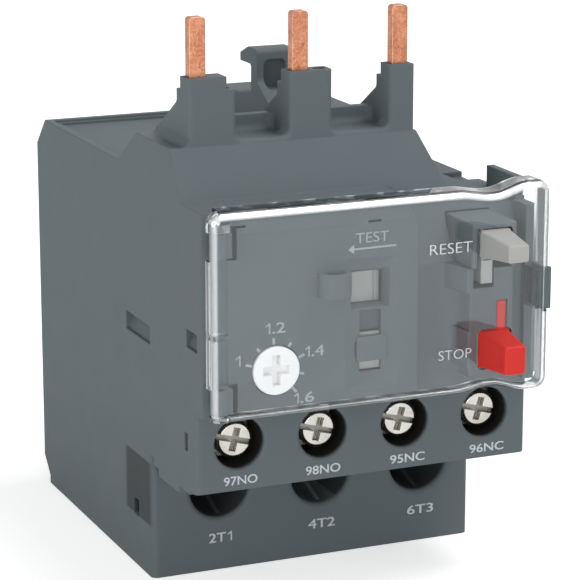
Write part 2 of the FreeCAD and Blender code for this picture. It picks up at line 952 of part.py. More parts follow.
def tower_cuts():
    """The shrouds' wider mouths, the slot beside the middle blade and the notch at the first shroud's step."""
    mouths = [box(span(blade(number), S.blade_wide / 2 + S.slide_gap),
                  grown((S.blade_front, S.blade_front + S.blade_thick), S.slide_gap),
                  (S.shroud_top - S.gap_round, S.shroud_top + 1)) for number in POLES]
    slot_left = SHROUDS[1][1] - S.shroud_slot_in - S.shroud_slot_wide
    slot = prism("xy", rectangle((slot_left, slot_left + S.shroud_slot_wide),
                                 grown((S.blade_front, S.blade_front + S.blade_thick), -0.05), 0.6),
                 S.shroud_top - S.shroud_slot_deep, S.shroud_top + 1)
    notch = box((SHROUDS[0][1] + 0.1, SHROUDS[0][1] + 0.9), (S.blade_front + 0.4, S.tower_front + S.shroud_depth + 1),
                (S.shroud_step - S.shroud_slot_deep, S.shroud_step + 1))
    return [slot, notch] + mouths


def housing_hook():
    """The hook that catches in the contactor's base: two cheeks on a post with a rearward tip."""
    right = S.hook_left + S.hook_wide
    side = prism("yz", [
        (S.hook_front, S.deck_top - 1),
        (S.hook_front, S.deck_top),
        (S.hook_cheek, S.deck_top + 2.3, 1.2),
        (S.hook_cheek, S.hook_top, 0.6),
        (S.hook_tip - 2.7, S.hook_top),
        (S.hook_tip, S.hook_nose),
        (S.hook_tip, S.hook_lip),
        (S.hook_back, S.hook_lip, 0.5),
        (S.hook_back, S.deck_top - 1),
    ], S.hook_left, right)
    pocket = prism("xz", [
        (S.hook_left + S.hook_cheek_wall, S.deck_top + 1.2, 0.8),
        (right - S.hook_cheek_wall, S.deck_top + 1.2, 0.8),
        (right - S.hook_cheek_wall, S.hook_lip + 0.8, 0.8),
        (S.hook_left + S.hook_cheek_wall, S.hook_lip + 0.8, 0.8),
    ], S.hook_front - 1, S.hook_back - 0.9)
    return cut(side, pocket)


def housing_bay():
    """Right side of the front: side wall, catch, tab and the column for the buttons."""
    wall = box((RIGHT_WALL, WIDTH), (S.side_front, S.panel_thick), (S.panel_foot, S.side_top))
    tab = box((WIDTH - S.tab_thick, WIDTH), (S.tab_front, S.tab_back), (S.body_top - 1, S.tab_top))
    catch_right = WIDTH + S.catch_proud
    catch = box((catch_right - S.catch_thick, catch_right), (S.catch_front, S.side_front + 1),
                (S.catch_low, S.catch_high))
    column = prism("xy", [
        (COLUMN_LEFT - S.column_sweep, S.bay_back + 1),
        (COLUMN_LEFT - S.column_sweep, S.bay_back),
        (COLUMN_LEFT, S.bay_back, S.column_sweep * 0.95),
        (COLUMN_LEFT, S.column_front, S.column_round),
        (COLUMN_RIGHT, S.column_front, S.column_round),
        (COLUMN_RIGHT, S.bay_back + 1),
    ], S.column_foot, S.hood_low)
    steps = [prism("xy", [
        (COLUMN_LEFT - rear, S.bay_back + 1),
        (COLUMN_LEFT - front, S.column_front, S.column_round),
        (COLUMN_RIGHT, S.column_front, S.column_round),
        (COLUMN_RIGHT, S.bay_back + 1),
    ], low, high) for rear, front, low, high in (
        (S.block_rear, S.block_proud, S.reset_leg_low - S.block_below, S.hood_low),
        (S.block_proud * 2, S.block_proud / 2, S.stop_low - S.slide_gap, S.stop_high + S.slide_gap),
    )]
    return [wall, tab, catch, column] + steps


def housing_lug():
    """Strap for the sealing wire, with its hole upright."""
    right = S.lug_left + S.lug_wide
    return cut(
        prism("xy", [
            (S.lug_left, 0.5),
            (S.lug_left, -S.lug_proud, S.lug_round),
            (right, -S.lug_proud, S.lug_round * 1.2),
            (right, 0.5),
        ], S.lug_low, S.lug_low + S.lug_tall),
        prism("xy", [
            (S.lug_left + S.lug_wall, 0),
            (S.lug_left + S.lug_wall, S.lug_wall - S.lug_proud, S.lug_round / 2),
            (right - S.lug_wall, S.lug_wall - S.lug_proud, S.lug_round * 0.7),
            (right - S.lug_wall, 0),
        ], S.lug_low - 1, S.lug_low + S.lug_tall + 1))


HINGE_ACROSS = S.hinge_in
HINGE_FORWARD = S.cover_front + S.hinge_in


def housing_ears():
    """Two ears that carry the cover's hinge pins, with a web from each to the panel beside the turning cover."""
    pieces = []
    for low in EARS:
        high = low + S.ear_tall
        ear = fuse(upright(HINGE_ACROSS, HINGE_FORWARD, S.ear_round, low, high),
                   box((HINGE_ACROSS + 0.1, HINGE_ACROSS + S.ear_web), (HINGE_FORWARD - S.ear_round / 2, 1),
                       (low, high)))
        pieces.append(cut(ear, upright(HINGE_ACROSS, HINGE_FORWARD, S.hinge_pin + S.turn_gap, low - 1, high + 1)))
    return pieces


def housing_cavity():
    skin = (S.side_skin, WIDTH - S.side_skin)
    inside = prism("yz", [
        (S.panel_thick, S.cavity_foot),
        (S.panel_thick, S.body_top - S.top_skin),
        (S.depth, S.body_top - S.top_skin),
        (S.depth, S.cavity_low),
        (S.cavity_low_front, S.cavity_low),
        (S.cavity_low_front, S.cavity_step),
        (S.aux_back, S.cavity_step),
        (S.aux_back, S.cavity_foot),
    ], skin[0], skin[1])
    rebate = box((S.back_lip, WIDTH - S.back_lip), (S.depth - S.back_plate, S.depth + 1),
                 (S.cavity_low - 0.6, S.body_top - S.top_skin + S.back_lip))
    return [inside, rebate]


def well_cutter(x, z, front, radius, rim, back):
    """A round hole from the front with a rounded mouth."""
    return lathe([
        (0, front - 1),
        (radius + 2 * rim, front - 1),
        (radius + 2 * rim, front),
        (radius, front, rim),
        (radius, back),
        (0, back),
    ], x, z)


def housing_terminals():
    cutters = []
    for number in POLES:
        middle = pole(number)
        cutters.append(well_cutter(middle, S.power_height, S.lower_front, S.power_well, S.power_rim,
                                   S.power_chamber_front + 0.5))
        cutters.append(box(span(middle, S.power_chamber_half), (S.power_chamber_front, S.power_chamber_back),
                           span(S.power_height, S.power_chamber_rise)))
        cutters.append(box(span(middle, S.power_entry_half), (S.power_entry_front, S.power_entry_back),
                           (-1, S.power_height)))
        cutters.append(box(grown(span(middle, LOAD_HALF), S.seat_gap),
                           (S.power_chamber_back - 1, S.cavity_low_front + 1),
                           grown((LOAD_LEG_LOW, LOAD_LEG_LOW + S.foot_thick), S.seat_gap)))
    for number in AUXILIARIES:
        middle = auxiliary(number)
        cutters.append(well_cutter(middle, S.aux_height, S.aux_front, S.aux_well, S.aux_rim,
                                   S.aux_chamber_front + 0.5))
        cutters.append(box(span(middle, S.aux_chamber_half), (S.aux_chamber_front, S.aux_chamber_back),
                           span(S.aux_height, S.aux_chamber_half)))
        cutters.append(box(span(middle, S.aux_entry_half), (S.aux_entry_front, S.aux_entry_back),
                           (S.stair_low - 2, S.aux_height)))
        cutters.append(box(grown(span(middle, S.leg_half), S.seat_gap),
                           (S.aux_chamber_back - 1, S.aux_back + 1),
                           grown((TAIL_LOW, TAIL_LOW + S.leg_thick), S.seat_gap)))
    return cutters


def housing_panel_cuts():
    """Openings in the panel: dial, test slide, trip flag and the scoop, and the hinge's relief."""
    dial_seat = bore(S.dial_across, S.dial_height, S.dial_round + S.slide_gap, -1,
                     S.dial_front + S.dial_thick + S.slide_gap)
    dial_bore = bore(S.dial_across, S.dial_height, S.dial_shaft + S.turn_gap, 0, S.panel_thick + 1)
    rebate = box((-1, S.hinge_rebate_wide), (-1, S.hinge_rebate), (S.panel_foot - 1, S.cover_top))
    pocket_right = S.hinge_rebate_wide + S.pocket_wide
    pockets = [box((S.hinge_rebate_wide, pocket_right), (-1, S.pocket_deep), (low - S.pocket_below, low + S.ear_tall))
               for low in EARS]
    pockets.append(box((S.hinge_rebate_wide, pocket_right + S.pocket_wide), (-1, S.pocket_deep),
                       (EARS[1] + S.ear_tall, EARS[1] + S.ear_tall + S.slit_tall)))
    half = (S.scoop_right - S.scoop_left) / 2
    bend = (half * half + S.scoop_deep * S.scoop_deep) / (2 * S.scoop_deep)
    middle = (S.scoop_left + S.scoop_right) / 2
    dish = prism("xy", [
        (S.scoop_left, -1),
        (S.scoop_left, 0),
        (middle, half * half / (bend - S.scoop_deep), bend * 0.99),
        (S.scoop_right, 0),
        (S.scoop_right, -1),
    ], S.scoop_low, S.scoop_high)
    ends = prism("yz", [
        (-1, S.scoop_low),
        (0, S.scoop_low),
        (2 * S.scoop_deep, S.scoop_low + 2 * S.scoop_end),
        (2 * S.scoop_deep, S.scoop_high - 2 * S.scoop_end),
        (0, S.scoop_high),
        (-1, S.scoop_high),
    ], S.scoop_left - 1, S.scoop_right + 1)
    scoop = common(dish, ends)
    frame_across = prism("xy", [
        (S.frame_left, -1),
        (S.frame_left, 0),
        (S.window_left, S.frame_deep),
        (S.window_right, S.frame_deep),
        (S.frame_right, 0),
        (S.frame_right, -1),
    ], S.frame_low - 1, S.frame_high + 1)
    frame_upright = prism("yz", [
        (-1, S.frame_low),
        (0, S.frame_low),
        (S.frame_deep, S.window_low),
        (S.frame_deep, S.window_high),
        (0, S.frame_high),
        (-1, S.frame_high),
    ], S.frame_left - 1, S.frame_right + 1)
    frame = common(frame_across, frame_upright)
    bridge_slit = box((S.bridge_left - S.slide_gap, S.bridge_left), (0, S.flag_front + 0.3),
                      grown((S.bridge_low, S.bridge_high), -0.6))
    window = box((S.window_left, S.window_right), (0, S.slide_front + 0.5), (S.window_low, S.window_high))
    slide_room = box((S.slide_left - S.test_travel - S.slide_gap, S.slide_left + S.slide_wide + S.slide_gap),
                     (S.slide_front - S.slide_gap, S.slide_front + S.slide_thick + S.slide_gap),
                     grown(SLIDE_RISE, S.slide_gap))
    slide_way = box((S.slide_left - S.test_travel - S.slide_gap + 1, S.slide_left + S.slide_wide + S.slide_gap - 1),
                    (S.slide_front, S.panel_thick + 1), grown(STEM_RISE, S.slide_gap))
    flag_slot = box((S.flag_left, S.flag_right), (0, S.flag_front + 0.5), (S.flag_low, S.flag_high))
    flag_room = box((S.flag_left - S.flag_travel - 0.6 - S.slide_gap, S.flag_right + 0.6 + S.slide_gap),
                    (S.flag_front - S.slide_gap, S.flag_front + S.flag_thick + S.slide_gap),
                    grown(FLAG_RISE, S.slide_gap))
    flag_way = box((S.flag_left - S.flag_travel - S.slide_gap, S.flag_right + S.slide_gap),
                   (S.flag_front, S.panel_thick + 1), grown(FLAG_STEM_RISE, S.slide_gap))
    slit = box((S.slit_left, S.slit_left + S.slit_wide), (-1, S.slit_deep), (S.slit_low, S.slit_low + S.slit_tall))
    step = box((-1, S.panel_width + 1), (-1, S.panel_step_deep), (S.panel_step, S.panel_top + 1))
    return ([dial_seat, dial_bore, rebate, step] + pockets
            + [scoop, frame, window, slide_room, slide_way, flag_slot, flag_room, flag_way, bridge_slit, slit])


def housing_bay_cuts():
    """Ways for the two push buttons through the column, the slope and the wall behind."""
    reset_way = box(grown((RESET_LEFT, RESET_LEFT + S.reset_root_wide), S.slide_gap),
                    (S.column_front - 1, S.panel_thick + 1),
                    (S.reset_low - S.slide_gap, S.reset_high + S.slide_gap))
    leg_window = box((COLUMN_LEFT + 0.4, COLUMN_LEFT + 3.2),
                     (S.column_front - 1, LEG_BACK + S.reset_travel + S.slide_gap),
                     (S.reset_leg_low - 0.5, S.reset_low + 0.1))
    stop_way = box(grown((STOP_LEFT, STOP_LEFT + S.stop_root_wide), S.slide_gap),
                   (S.column_front - 1, S.panel_thick + 1), grown((S.stop_low, S.stop_high), S.slide_gap))
    rib_way = box(grown((STOP_RIB_LEFT, STOP_RIB_LEFT + S.stop_rib_wide), S.slide_gap),
                  (S.column_front - 1, RIB_BACK + S.stop_travel + S.slide_gap),
                  (S.stop_low, S.stop_rib_top + S.slide_gap))
    notch = box((S.panel_width, S.panel_width + 1), (S.bay_back - 1.2, S.bay_back + 1),
                (S.slope_foot, S.slope_foot + S.notch_tall))
    seat = prism("yz", [
        (S.hood_front, S.hood_low - S.hood_line),
        (slope_at(S.hood_low - S.hood_line) + S.hood_root, S.hood_low - S.hood_line),
        (slope_at(S.hood_high + S.hood_line) + S.hood_root, S.hood_high + S.hood_line),
        (S.hood_front, S.hood_high + S.hood_line),
    ], HOOD_LEFT - S.hood_line, HOOD_RIGHT + S.hood_line)
    return [reset_way, leg_window, stop_way, rib_way, notch, seat]


def housing_small_cuts():
    tray = box((S.tray_wall, S.tray_wide), (S.notch_back + 1, S.tray_back), (S.tray_floor, S.deck_top))
    blade_ways = [box(grown(span(blade(number), S.blade_wide / 2), S.seat_gap),
                      grown((S.blade_front, S.blade_front + S.blade_thick), S.seat_gap),
                      (S.body_top - S.top_skin - 1, S.shroud_top + 1)) for number in POLES]
    rim = box((S.tray_wall / 2, S.tray_wide), (S.notch_back + 1, S.tray_back + S.tray_lip),
              ((S.tray_floor + S.tray_rim) / 2, S.deck_top))
    funnel_left = WIDTH - S.side_wall - S.funnel_wide / 2
    funnel = box((funnel_left, funnel_left + S.funnel_wide), (S.funnel_front, S.funnel_back),
                 (S.body_top - S.funnel_deep, S.body_top + 1))
    funnel_hole = box((funnel_left + 0.3, funnel_left + 0.3 + S.funnel_wide / 2),
                      (S.funnel_front + 0.1, (S.funnel_front + S.funnel_back) / 2),
                      (S.body_top - 2 * S.funnel_deep, S.body_top))
    return [tray, rim, funnel, funnel_hole] + blade_ways + [side_window(name) for name in SIDE_WINDOWS]


SIDE_WINDOWS = ("vent", "peep", "aux_slit", "base_slit")


def side_window(name):
    """A pocket in the left side whose floor slants down to the outside."""
    front, long, low, tall = (getattr(S, name + part) for part in ("_front", "_long", "_low", "_tall"))
    return prism("xz", [
        (-1, low),
        (S.window_sill, low),
        (S.window_reach, low + tall),
        (-1, low + tall),
    ], front, front + long)

LOAD_HALF = S.power_entry_half - 0.9
LOAD_LEG_LOW = S.power_height - 3
TAIL_LOW = S.aux_height + 1.6
CONTACT_TOP = TAIL_LOW + S.leg_rise
CARRIER_LOW = CONTACT_TOP + S.carrier_lift
LEVER_FOOT = CARRIER_LOW + S.carrier_tall + S.lever_clear
SLIDE_RISE = (S.window_low - 0.5, S.window_high + 0.5)
STEM_RISE = (S.window_low + 1.2, S.window_high - 1.2)
FLAG_RISE = (S.flag_low + 0.1, S.flag_rest)
FLAG_STEM_RISE = (S.bridge_low, S.bridge_high)
LEG_BACK = as_size(0.2)
RIB_BACK = as_size(0.0)


def housing_guides():
    """A ramp at the foot of each power well that steers the screwdriver."""
    foot = S.power_height - S.power_well
    return [prism("yz", [
        (S.lower_front + S.guide_in, foot - 0.3),
        (S.power_chamber_front, foot - 0.3),
        (S.power_chamber_front, foot + S.guide_rise),
        (S.lower_front + S.guide_in, foot + 0.1),
    ], pole(number), pole(number) + S.guide_thick) for number in POLES]


def housing_inner_ribs():
    """Inside: seats for the two springs, and the boss for the rocker's pin."""
    right = WIDTH - S.side_skin + 0.5
    seat = (S.spring_seat, S.spring_seat + S.spring_seat_thick)
    reset_seat = box((RESET_LEFT - 1, right), seat, (S.reset_low - 1.5, S.body_top - S.top_skin + 0.5))
    stop_seat = box((STOP_LEFT - 1, right), seat, (S.cavity_foot - 0.5, S.stop_high + 1))
    boss = upright(S.lever_across, S.lever_back, S.lever_hub, S.cavity_step - 0.5, LEVER_FOOT - S.slide_gap)
    boss = cut(boss, upright(S.lever_across, S.lever_back, S.lever_pin, LEVER_FOOT - S.pin_sunk, LEVER_FOOT))
    return [reset_seat, stop_seat, boss]


def make_housing():
    masses = housing_masses() + housing_tower() + [housing_hook()] + housing_bay()
    cutters = (housing_cavity() + housing_terminals() + housing_panel_cuts() + housing_bay_cuts()
               + housing_small_cuts() + tower_cuts())
    shell = cut(fuse(*masses), *cutters)
    bridge = box((S.bridge_left, S.bridge_right), (0, S.bridge_thick), (S.bridge_low, S.bridge_high))
    node("housing", fuse(shell, bridge, housing_lug(), *housing_ears(), *housing_guides(),
                         *housing_inner_ribs()))


def make_rear_cover():
    """Plate that closes the back, with a rim that goes into the cavity."""
    low = S.cavity_low - 0.6
    high = S.body_top - S.top_skin + S.back_lip
    cover = Body()
    cover.pad("xz", rectangle((S.back_lip + S.seat_gap, WIDTH - S.back_lip - S.seat_gap),
                              (low + S.seat_gap, high - S.seat_gap)), S.depth - S.back_plate, S.depth)
    inner = grown((S.side_skin, WIDTH - S.side_skin), -S.seat_gap)
    rise = grown((S.cavity_low, S.body_top - S.top_skin), -S.seat_gap)
    cover.pad("xz", rectangle(inner, rise), S.depth - S.back_plate - S.spigot_deep, S.depth - S.back_plate)
    cover.pocket("xz", rectangle(grown(inner, -S.spigot_wall), grown(rise, -S.spigot_wall)),
                 S.depth - S.back_plate - S.spigot_deep, S.depth - S.back_plate)
    node("rear_cover", cover)


# ---------------------------------------------------------------- transparent cover

def cover_skin(inset, back):
    """The cover's solid form, moved inwards by an inset: its top and foot dip over the reset button's column
    and flare at the right end."""
    left = as_size(0) + inset
    right = WIDTH - inset
    top = S.cover_top - inset
    foot = S.cover_foot + inset
    round = S.cover_corner - inset
    dip_left = WIDTH - S.dip_inset - S.dip_half
    dip_right = WIDTH - S.dip_inset + S.dip_half
    skin = Body()
    skin.pad("xz", [
        (left, foot, round),
        (dip_left - S.dip_run, foot, S.cover_bend),
        (dip_left, foot + S.cover_dip, S.cover_bend),
        (dip_right, foot + S.cover_dip, S.cover_bend),
        (dip_right + S.dip_run, foot - S.cover_flare, S.cover_bend),
        (right, foot - S.cover_flare, round),
        (right, top + S.cover_flare, round),
        (dip_right + S.dip_run, top + S.cover_flare, S.cover_bend),
        (dip_right, top - S.cover_dip, S.cover_bend),
        (dip_left, top - S.cover_dip, S.cover_bend),
        (dip_left - S.dip_run, top, S.cover_bend),
        (left, top, round),
    ], S.cover_front + inset, back)
    skin.fillet(lambda edge: whole_edge_at(edge, "y", S.cover_front + inset), S.cover_round - inset)
    return skin.body


def button_hole(left, wide, low, high):
    return prism("xz", rectangle(grown((left, left + wide), S.hole_gap), grown((low, high), S.hole_gap),
                                 S.hole_round), S.cover_front - 1, S.cover_front + 1)


def make_clear_cover():
    none = as_size(0)
    outer = cover_skin(none, S.cover_right_end)
    inner = cover_skin(S.cover_wall, S.cover_right_end + 1)
    left_end = box((-1, HINGE_ACROSS), (S.cover_left_end, 3), (S.cover_foot - 1, S.cover_top + 1))
    top_end = box((-1, WIDTH + 1), (S.cover_top_end, 3),
                  (S.cover_top - S.cover_wall - S.cover_dip - 0.01, S.cover_top + S.cover_flare + 1))
    foot_end = box((-1, WIDTH + 1), (S.cover_foot_end, 3),
                   (S.cover_foot - S.cover_flare - 1, S.cover_foot + S.cover_wall + S.cover_dip))
    ear_ways = []
    for low in EARS:
        rise = grown((low, low + S.ear_tall), S.ear_gap)
        ear_ways.append(box((-1, HINGE_ACROSS), (HINGE_FORWARD - S.ear_round * 0.75, 3), rise))
        ear_ways.append(upright(HINGE_ACROSS, HINGE_FORWARD, S.ear_round + S.slide_gap, *rise))
    catch_way = box((WIDTH + S.catch_proud - S.catch_thick - S.ear_gap, WIDTH + 1), (S.cover_front - 1, 3),
                    grown((S.catch_low, S.catch_high), S.ear_gap))
    reset_hole = button_hole(RESET_LEFT, S.reset_root_wide, S.reset_low, S.reset_high)
    stop_hole = button_hole(STOP_LEFT, S.stop_root_wide, S.stop_low, S.stop_high)
    shell = cut(outer, inner, left_end, top_end, foot_end, catch_way, reset_hole, stop_hole, *ear_ways)
    upper = EARS[1] + S.ear_tall + S.ear_gap
    lower = EARS[0] - S.ear_gap
    skin_front = S.cover_front + S.cover_wall / 2
    clip_left = WIDTH - S.clip_inset - S.clip_wall
    knuckles = [
        upright(HINGE_ACROSS, HINGE_FORWARD, S.knuckle_round, upper, upper + 1),
        upright(HINGE_ACROSS, HINGE_FORWARD, S.knuckle_round, S.cover_foot + 0.1, lower),
        upright(HINGE_ACROSS, HINGE_FORWARD, S.hinge_pin, upper - 2, upper + 0.1),
        upright(HINGE_ACROSS, HINGE_FORWARD, S.hinge_pin, lower - 0.1, lower + 2),
        box((S.cover_wall / 2, HINGE_ACROSS + 0.6), (skin_front, HINGE_FORWARD + 0.3),
            (S.rib_low, S.rib_low + S.rib_tall)),
        box((clip_left, clip_left + S.clip_wall), (skin_front, S.clip_reach),
            grown((S.catch_low, S.catch_high), -0.2)),
    ]
    node("clear_cover", fuse(shell, *knuckles))


# ---------------------------------------------------------------- buttons, dial, slides

def make_reset_hood():
    hood = Body()
    hood.pad("yz", [
        (S.hood_front, S.hood_low),
        (slope_at(S.hood_low) + S.hood_root, S.hood_low),
        (slope_at(S.hood_high) + S.hood_root, S.hood_high),
        (S.hood_front, S.hood_high),
    ], HOOD_LEFT, HOOD_RIGHT)
    hood.pocket("xz", rectangle((HOOD_LEFT + S.hood_wall, HOOD_RIGHT - S.hood_wall),
                                (S.hood_low - 1, S.hood_high - S.hood_wall)),
                S.hood_front - 1, slope_at(S.hood_high) + S.hood_root + 1)
    hood.fillet(lambda edge: whole_edge_at(edge, "y", S.hood_front) and (
        whole_edge_at(edge, "z", S.hood_high) or whole_edge_at(edge, "x", HOOD_LEFT)), S.hood_round)
    node("reset_hood", hood)


def push_button(left, root_wide, tip_wide, rise, tip_rise, tip, root):
    """A button with a head that tapers to its tip on the right and above and below."""
    button = Body()
    button.pad("xz", rectangle((left, left + root_wide), rise), S.cover_front, root)
    button.loft("xz", rectangle((left, left + tip_wide), tip_rise, S.button_round), tip,
                rectangle((left, left + root_wide), rise, S.button_round), S.cover_front)
    button.fillet(lambda edge: whole_edge_at(edge, "y", tip), S.button_round * 0.7)
    return button


def make_reset():
    middle = (S.reset_low + S.reset_high) / 2
    across = RESET_LEFT + S.reset_root_wide / 2
    button = push_button(RESET_LEFT, S.reset_root_wide, S.reset_tip_wide, (S.reset_low, S.reset_high),
                         (S.reset_tip_low, S.reset_tip_high), S.reset_tip, S.bay_back)
    button.pad("xz", rectangle(span(across, 1.2), span(middle, 1.2)), S.bay_back, S.shank_back)
    button.pad("xz", rectangle(span(across, 0.7), span(middle, 0.7)), S.shank_back, S.spring_seat - 2.8)
    button.pad("xz", rectangle((RESET_LEG_LEFT, RESET_LEG_LEFT + S.reset_leg_wide),
                               (S.reset_leg_low, S.reset_low)), S.column_front + 0.1, LEG_BACK)
    node("reset_button", button)
    node("reset_spring", coil(across, middle, S.shank_back, S.spring_seat))


def make_stop():
    middle = (S.stop_low + S.stop_high) / 2
    across = STOP_LEFT + S.stop_root_wide / 2
    button = push_button(STOP_LEFT, S.stop_root_wide, S.stop_tip_wide, (S.stop_low, S.stop_high),
                         (S.stop_tip_low, S.stop_tip_high), S.stop_tip, S.bay_back)
    button.pad("xz", rectangle(span(across, 1.2), span(middle, 1.2)), S.bay_back, S.shank_back)
    button.pad("xz", rectangle(span(across, 0.7), span(middle, 0.7)), S.shank_back, S.spring_seat - 2.8)
    button.pad("xz", rectangle((STOP_RIB_LEFT, STOP_RIB_LEFT + S.stop_rib_wide),
                               (S.stop_high, S.stop_rib_top)), S.column_front + 0.2, RIB_BACK)
    node("stop_button", button)
    node("stop_spring", coil(across, middle, S.shank_back, S.spring_seat))


def make_dial():
    face = S.dial_front
    back = S.dial_front + S.dial_thick
    head = bore(S.dial_across, S.dial_height, S.dial_round, face, back)
    shaft = bore(S.dial_across, S.dial_height, S.dial_shaft, back, S.panel_thick + S.cam_thick)
    arms = [box(span(S.dial_across, half_wide), (face - 1, face + S.dial_recess), span(S.dial_height, half_tall))
            for half_wide, half_tall in ((S.dial_slot / 2, as_size(1.9)), (as_size(1.7), S.dial_slot / 2))]
    node("current_dial", cut(fuse(head, shaft), *arms))
    cam = bore(S.dial_across + S.cam_throw, S.dial_height, S.cam_round, S.panel_thick + S.slide_gap,
               S.panel_thick + S.cam_thick)
    hole = bore(S.dial_across, S.dial_height, S.dial_shaft, S.panel_thick, S.panel_thick + S.cam_thick + 1)
    node("dial_cam", cut(cam, hole))


def make_test_slide():
    slide = Body()
    front = S.slide_front
    back = S.slide_front + S.slide_thick
    right = S.slide_left + S.slide_wide
    slide.pad("xz", rectangle((S.slide_left, right), SLIDE_RISE), front, back)
    slide.pad("xz", rectangle((S.slide_left + 1, right - 1), STEM_RISE), back, S.panel_thick + 2)
    for step in (1, 4):
        groove = right - step * S.slide_groove
        slide.pocket("xz", rectangle((groove - S.slide_groove, groove), SLIDE_RISE), front, front + S.slide_groove)
    node("test_slider", slide)


def make_flag():
    flag = Body()
    back = S.flag_front + S.flag_thick
    flag.pad("xz", rectangle((S.flag_left - 0.6, S.flag_right + 0.6), FLAG_RISE), S.flag_front, back)
    flag.pad("xz", rectangle((S.flag_left, S.flag_right), FLAG_STEM_RISE), back, S.panel_thick + 1.5)
    node("trip_flag", flag)


# ---------------------------------------------------------------- current path

def make_blades():
    """Contact blades: each goes down through the deck and runs back to its pole's heater."""
    for number in POLES:
        middle = blade(number)
        target = pole(number)
        half = S.blade_wide / 2
        wide = S.heater_half
        upright_part = prism("xz", [
            (middle - half, S.bus_bottom),
            (middle + half, S.bus_bottom),
            (middle + half, S.blade_top, S.blade_round),
            (middle - half, S.blade_top, S.blade_round),
        ], S.blade_front, S.blade_front + S.blade_thick)
        bus = prism("xy", [
            (middle - half, S.blade_front),
            (middle + half, S.blade_front),
            (middle + half, S.bus_turn),
            (target + wide, S.bus_join),
            (target + wide, S.heater_back),
            (target - wide, S.heater_back),
            (target - wide, S.bus_join),
            (middle - half, S.bus_turn),
        ], S.bus_bottom, S.bus_bottom + S.bus_thick)
        node("line_blade_%d" % (number + 1), fuse(upright_part, bus))


def make_heaters():
    for number in POLES:
        middle = pole(number)
        across = span(middle, S.heater_half)
        whole = (S.heater_front, S.heater_back)
        turns = 6
        rings = [box(across, whole, (S.heater_first + S.heater_pitch * n,
                                     S.heater_first + S.heater_pitch * n + S.heater_turn_tall))
                 for n in range(turns)]
        links = []
        for n in range(turns + 1):
            low = S.foot_top if n == 0 else S.heater_first + S.heater_pitch * (n - 1) + S.heater_turn_tall
            high = S.bus_bottom if n == turns else S.heater_first + S.heater_pitch * n
            front = S.heater_front if n % 2 else S.heater_back - S.heater_strip
            links.append(box(across, (front, front + S.heater_strip), (low, high)))
        eye = box(span(middle, S.heater_half - S.heater_strip),
                  (S.heater_front + S.heater_strip, S.heater_back - S.heater_strip),
                  (S.heater_first - 1, S.bar_low - 1))
        node("heater_%d" % (number + 1), cut(fuse(*rings, *links), eye))
        strip = box(span(middle, S.bimetal_thick / 2), (S.bimetal_front, S.bimetal_front + S.bimetal_wide),
                    (S.foot_top, S.bimetal_top))
        node("bimetal_%d" % (number + 1), strip)


def make_load_bars():
    """Power terminal plates, each bent back and up to carry its heater and bimetal."""
    front = S.power_entry_back + 0.2
    for number in POLES:
        bar = Body()
        bar.pad("yz", [
            (front, S.power_height - S.power_chamber_rise + 0.3),
            (front + S.foot_thick, S.power_height - S.power_chamber_rise + 0.3),
            (front + S.foot_thick, LOAD_LEG_LOW),
            (S.heater_front + 4, LOAD_LEG_LOW, 1.4),
            (S.heater_front + 4, S.foot_top - S.foot_thick),
            (S.heater_back, S.foot_top - S.foot_thick),
            (S.heater_back, S.foot_top),
            (S.heater_front, S.foot_top),
            (S.heater_front, S.foot_top - S.foot_thick),
            (S.heater_front + 4 - S.foot_thick, S.foot_top - S.foot_thick),
            (S.heater_front + 4 - S.foot_thick, LOAD_LEG_LOW + S.foot_thick, 0.4),
            (front + S.foot_thick, LOAD_LEG_LOW + S.foot_thick),
            (front + S.foot_thick, S.power_height + S.power_chamber_rise - 0.3),
            (front, S.power_height + S.power_chamber_rise - 0.3),
        ], pole(number) - LOAD_HALF, pole(number) + LOAD_HALF)
        bar.bore(pole(number), S.power_height, S.power_shank + S.turn_gap, front - 1, front + S.foot_thick + 0.5)
        node("load_bar_%d" % (number + 1), bar)


def screw(x, z, front, head, thick, shank, back, tilt):
    """A terminal screw with a slot and a cross in its head."""
    blank = lathe([
        (0, front),
        (head - S.screw_bevel, front),
        (head, front + S.screw_bevel),
        (head, front + thick),
        (shank, front + thick),
        (shank, back),
        (0, back),
    ], x, z)
    deep = (front - 1, front + S.screw_recess)
    slot = box(span(x, head + 1), deep, span(z, S.screw_slot / 2))
    cross = box(span(x, S.screw_cross / 2), deep, span(z, head * 0.62))
    return cut(blank, turned(fuse(slot, cross), tilt, x, z))


def clamp(x, z, half, tall, front, thick, hole):
    plate = box(span(x, half), (front, front + thick), span(z, tall))
    return cut(plate, bore(x, z, hole, front - 1, front + thick + 1))


def make_terminals():
    power_front = S.power_entry_front - S.power_head_thick - S.power_clamp_thick - S.seat_gap
    screws = [screw(pole(n), S.power_height, power_front, S.power_head, S.power_head_thick, S.power_shank,
                    S.power_chamber_back - 0.3, 20) for n in POLES]
    node("power_screws", group(*screws))
    clamps = [clamp(pole(n), S.power_height, S.power_chamber_half - 0.4, S.power_chamber_rise - 0.5,
                    power_front + S.power_head_thick, S.power_clamp_thick, S.power_shank + S.turn_gap)
              for n in POLES]
    node("power_clamps", group(*clamps))
    aux_screws = [screw(auxiliary(n), S.aux_height, S.aux_head_front, S.aux_head, S.aux_head_thick,
                        S.aux_shank, S.aux_chamber_back - 0.2, 15) for n in AUXILIARIES]
    node("aux_screws", group(*aux_screws))
    clamp_front = S.aux_chamber_front + 0.1
    aux_clamps = [clamp(auxiliary(n), S.aux_height, S.aux_chamber_half - 0.4, S.aux_chamber_half - 0.4,
                        clamp_front, S.aux_clamp_thick, S.aux_shank + S.turn_gap) for n in AUXILIARIES]
    node("aux_clamps", group(*aux_clamps))


